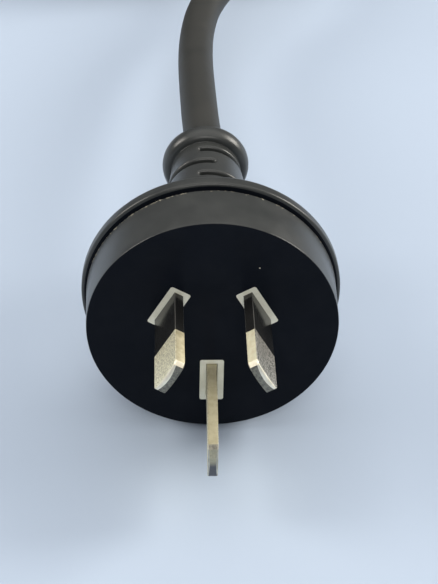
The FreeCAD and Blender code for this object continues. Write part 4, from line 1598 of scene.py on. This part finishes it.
@dataclass
class ApplianceConnector:
    """The moulded shell and ribbed boot of the far end, round the carried-over contact carrier.

    The boot starts inside the shell and a little wider, and its rings lie between two shares of it.
    """

    cord: MainsCord
    nose_length: float = 19.0
    shell_back: float = 37.0
    length: float = 55.0
    half_width: float = 13.5
    half_height: float = 10.0
    corner: float = 3.0
    corner_steps: int = 6
    rim: float = 0.7
    rim_steps: int = 6
    grip_margin: float = 3.0
    grip_ribs: int = 6
    grip_rib: float = 0.35
    grip_fade: float = 1.5
    rib_steps: int = 8
    boot_front: float = 6.6
    boot_end: float = 5.0
    boot_root: Span = (0.5, 0.6)
    boot_ribs: int = 5
    boot_rib_steps: int = 10
    boot_groove: float = 0.7
    boot_ringed: Span = (0.1, 0.95)
    boot_sides: int = 48
    cord_hole: float = 1.5

    def __post_init__(self) -> None:
        """Takes the connector's place from the frame and the cord's end."""
        low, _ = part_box("connector_insert")
        self.front = low.y / MM
        self.across, _, self.up = self.cord.end

    def _shell(self) -> list[list[Point]]:
        """The shell: a rounded block with grip ribs on its sides.

        Returns:
            Its rings.
        """
        rim = []
        for i in range(self.rim_steps + 1):
            turn = math.pi / 2 * i / self.rim_steps
            rim.append((self.rim * (1.0 - math.cos(turn)), self.rim * (1.0 - math.sin(turn))))
        start, end = self.nose_length + self.grip_margin, self.shell_back - self.grip_margin
        steps = self.grip_ribs * self.rib_steps
        rows = [(self.nose_length + depth, inset) for depth, inset in rim]
        for i in range(steps + 1):
            share = i / steps
            wave = (1.0 - math.cos(2.0 * math.pi * self.grip_ribs * share)) / 2
            rows.append((start + (end - start) * share, self.grip_rib * wave))
        rows += [(self.shell_back - depth, inset) for depth, inset in reversed(rim)]
        shape = rounded_rectangle(self.half_width, self.half_height, self.corner, self.corner_steps)
        rings = []
        for depth, inset in rows:
            ring = []
            for x, z in shape:
                side = max(abs(x) - (self.half_width - self.grip_fade), 0.0) / self.grip_fade
                at_end = depth < start or depth > end
                pull_x = min(inset if at_end else inset * side, abs(x))
                pull_z = min(inset if at_end else 0.0, abs(z))
                across = self.across + x - math.copysign(pull_x, x)
                ring.append((across, self.front + depth, self.up + z - math.copysign(pull_z, z)))
            rings.append(ring)
        return rings

    def _boot(self) -> list[list[Point]]:
        """The boot: a cone of rings down to the cord.

        Returns:
            Its rings.
        """
        length = self.length - self.shell_back
        sunk, wider = self.boot_root
        first, last = self.boot_ringed
        rows = [(self.shell_back - sunk, self.boot_front + wider)]
        steps = self.boot_ribs * self.boot_rib_steps
        for i in range(steps + 1):
            share = i / steps
            radius = self.boot_front + (self.boot_end - self.boot_front) * share
            groove = max(math.cos(2.0 * math.pi * (self.boot_ribs * share + 0.5)), 0.0) ** 2
            depth = self.boot_groove * groove if first < share < last else 0.0
            rows.append((self.shell_back + length * share, radius - depth))
        cord = self.cord.diameter / 2
        rows += [(self.length, cord), (self.length - self.cord_hole, cord)]
        return [
            [(self.across + x, self.front + depth, self.up + z) for x, z in circle(radius, self.boot_sides)]
            for depth, radius in rows
        ]

    def build(self) -> list[Piece | str]:
        """Makes the shell and boot, and dresses the pieces inside.

        Returns:
            The pieces at the cord's far end.
        """
        facets = Facets()
        for rings in (self._shell(), self._boot()):
            facets.loft(rings, capped=True)
        piece = make_piece("connector_shell", facets, [CONNECTOR_SHELL])
        settle(piece, "connector", "connector_body")
        dress("connector_insert", CONNECTOR_NOSE)
        on_cord: list[Piece | str] = [piece, "connector_insert", "connector_sheath_end"]
        for name in CORES:
            dress(f"connector_{name}_contact", STAMPED_BRASS)
            on_cord.append(f"connector_{name}_contact")
        return on_cord


@dataclass
class InnerWiring:
    """The cores and conductors inside the plug and the connector."""

    prefixes: tuple[str, ...] = ("", "connector_")

    def build(self) -> list[str]:
        """Dresses every core and conductor.

        Returns:
            The nodes at the cord's far end.
        """
        far = []
        for prefix in self.prefixes:
            for name, finish in CORES.items():
                nodes = f"{prefix}{name}_core", f"{prefix}{name}_conductor"
                dress(nodes[0], finish)
                dress(nodes[1], BARE_COPPER)
                far += nodes if prefix else ()
        return far


# Floor, light and camera


@dataclass(frozen=True)
class Lamp:
    """One soft lamp: where it stands, its size, power, colour and spread, and what it points at."""

    name: str
    place: Point
    size: Span
    power: float
    colour: Colour
    spread: float = 180.0
    target: Point = (0.0, 0.0, 20.0)

    def build(self) -> None:
        """Places the lamp."""
        light = bpy.data.lights.new(self.name, "AREA")
        light.shape = "RECTANGLE"
        light.size, light.size_y = (side * MM for side in self.size)
        light.energy = self.power
        light.color = self.colour
        light.spread = math.radians(self.spread)
        lamp = link(self.name, light)
        lamp.location = Vector(self.place) * MM
        lamp.rotation_mode = "QUATERNION"
        lamp.rotation_quaternion = (Vector(self.target) - Vector(self.place)).to_track_quat("-Z", "Y")


@dataclass
class Studio:
    """A plain pale floor, soft lamps and the photograph's camera."""

    floor_half: float = 3000.0
    world_colour: Colour = (0.86, 0.90, 1.0)
    world_strength: float = 0.2
    camera_place: Point = (-8.35, -225.77, 183.07)
    camera_elevation: float = 36.32
    camera_yaw: float = 2.5
    camera_roll: float = 1.34
    focal_pixels: float = 1700.0
    frame_pixels: tuple[int, int] = (438, 584)
    sensor: float = 36.0
    clip_start: float = 10.0
    lamps: tuple[Lamp, ...] = (
        Lamp("left_lamp", (-1410.0, 265.0, 900.0), (700.0, 700.0), 4.4, (1.0, 0.96, 0.88), 100.0),
        Lamp("right_lamp", (1410.0, 570.0, 810.0), (700.0, 700.0), 7.8, (1.0, 0.96, 0.88), 100.0),
        Lamp("top_lamp", (0.0, 400.0, 1870.0), (2600.0, 2400.0), 22.5, (1.0, 0.98, 0.95)),
        Lamp("front_fill", (0.0, -1300.0, 1350.0), (1100.0, 660.0), 12.0, (1.0, 0.97, 0.92)),
    )

    def build(self) -> None:
        """Lays the floor and places the world, the lamps and the camera."""
        self._floor()
        self._world()
        for lamp in self.lamps:
            lamp.build()
        self._camera()

    def _floor(self) -> None:
        """A plain pale floor."""
        half = self.floor_half * MM
        corners = [(-half, -half, 0.0), (half, -half, 0.0), (half, half, 0.0), (-half, half, 0.0)]
        floor = bmesh.new()
        floor.faces.new([floor.verts.new(corner) for corner in corners])
        mesh_piece("floor", floor, [PALE_FLOOR])

    def _world(self) -> None:
        """An even sky for fill."""
        world = bpy.data.worlds.new("studio")
        world.use_nodes = True
        sky = world.node_tree.nodes["Background"]
        inputs = {"Color": (*self.world_colour, 1.0), "Strength": self.world_strength}
        fill(world.node_tree, sky, inputs)
        bpy.context.scene.world = world

    def _camera(self) -> None:
        """The camera at the photograph's viewing angle."""
        elevation, yaw = math.radians(self.camera_elevation), math.radians(self.camera_yaw)
        level_ahead = Vector((math.sin(yaw), math.cos(yaw), 0.0))
        ahead = level_ahead * math.cos(elevation) - Vector((0.0, 0.0, math.sin(elevation)))
        level = Vector((math.cos(yaw), -math.sin(yaw), 0.0))
        roll = math.radians(self.camera_roll)
        right = level * math.cos(roll) + level.cross(ahead) * math.sin(roll)
        turn = Matrix((right, right.cross(ahead), -ahead)).transposed()
        data = bpy.data.cameras.new("photo_camera")
        data.sensor_width = self.sensor
        data.lens = self.focal_pixels / max(self.frame_pixels) * self.sensor
        data.clip_start = self.clip_start * MM
        camera = link("photo_camera", data)
        camera.matrix_world = Matrix.Translation(Vector(self.camera_place) * MM) @ turn.to_4x4()
        bpy.context.scene.camera = camera


def main() -> None:
    """Builds the studio and every piece in order."""
    logging.basicConfig(level=logging.INFO, format="%(name)s: %(message)s")
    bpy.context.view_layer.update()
    bpy.context.scene.view_settings.view_transform = "Standard"
    Studio().build()
    cord = MainsCord()
    cord_piece = cord.build()
    moulding = PlugMoulding()
    blades = BladeSet(moulding)
    moulding.build(blades.windows())
    MouldFlash(moulding).build()
    blades.build()
    tie = HankTie(cord).build()
    on_cord = ApplianceConnector(cord).build()
    far_wires = InnerWiring().build()
    cord.declare()


if __name__ == "__main__":
    main()
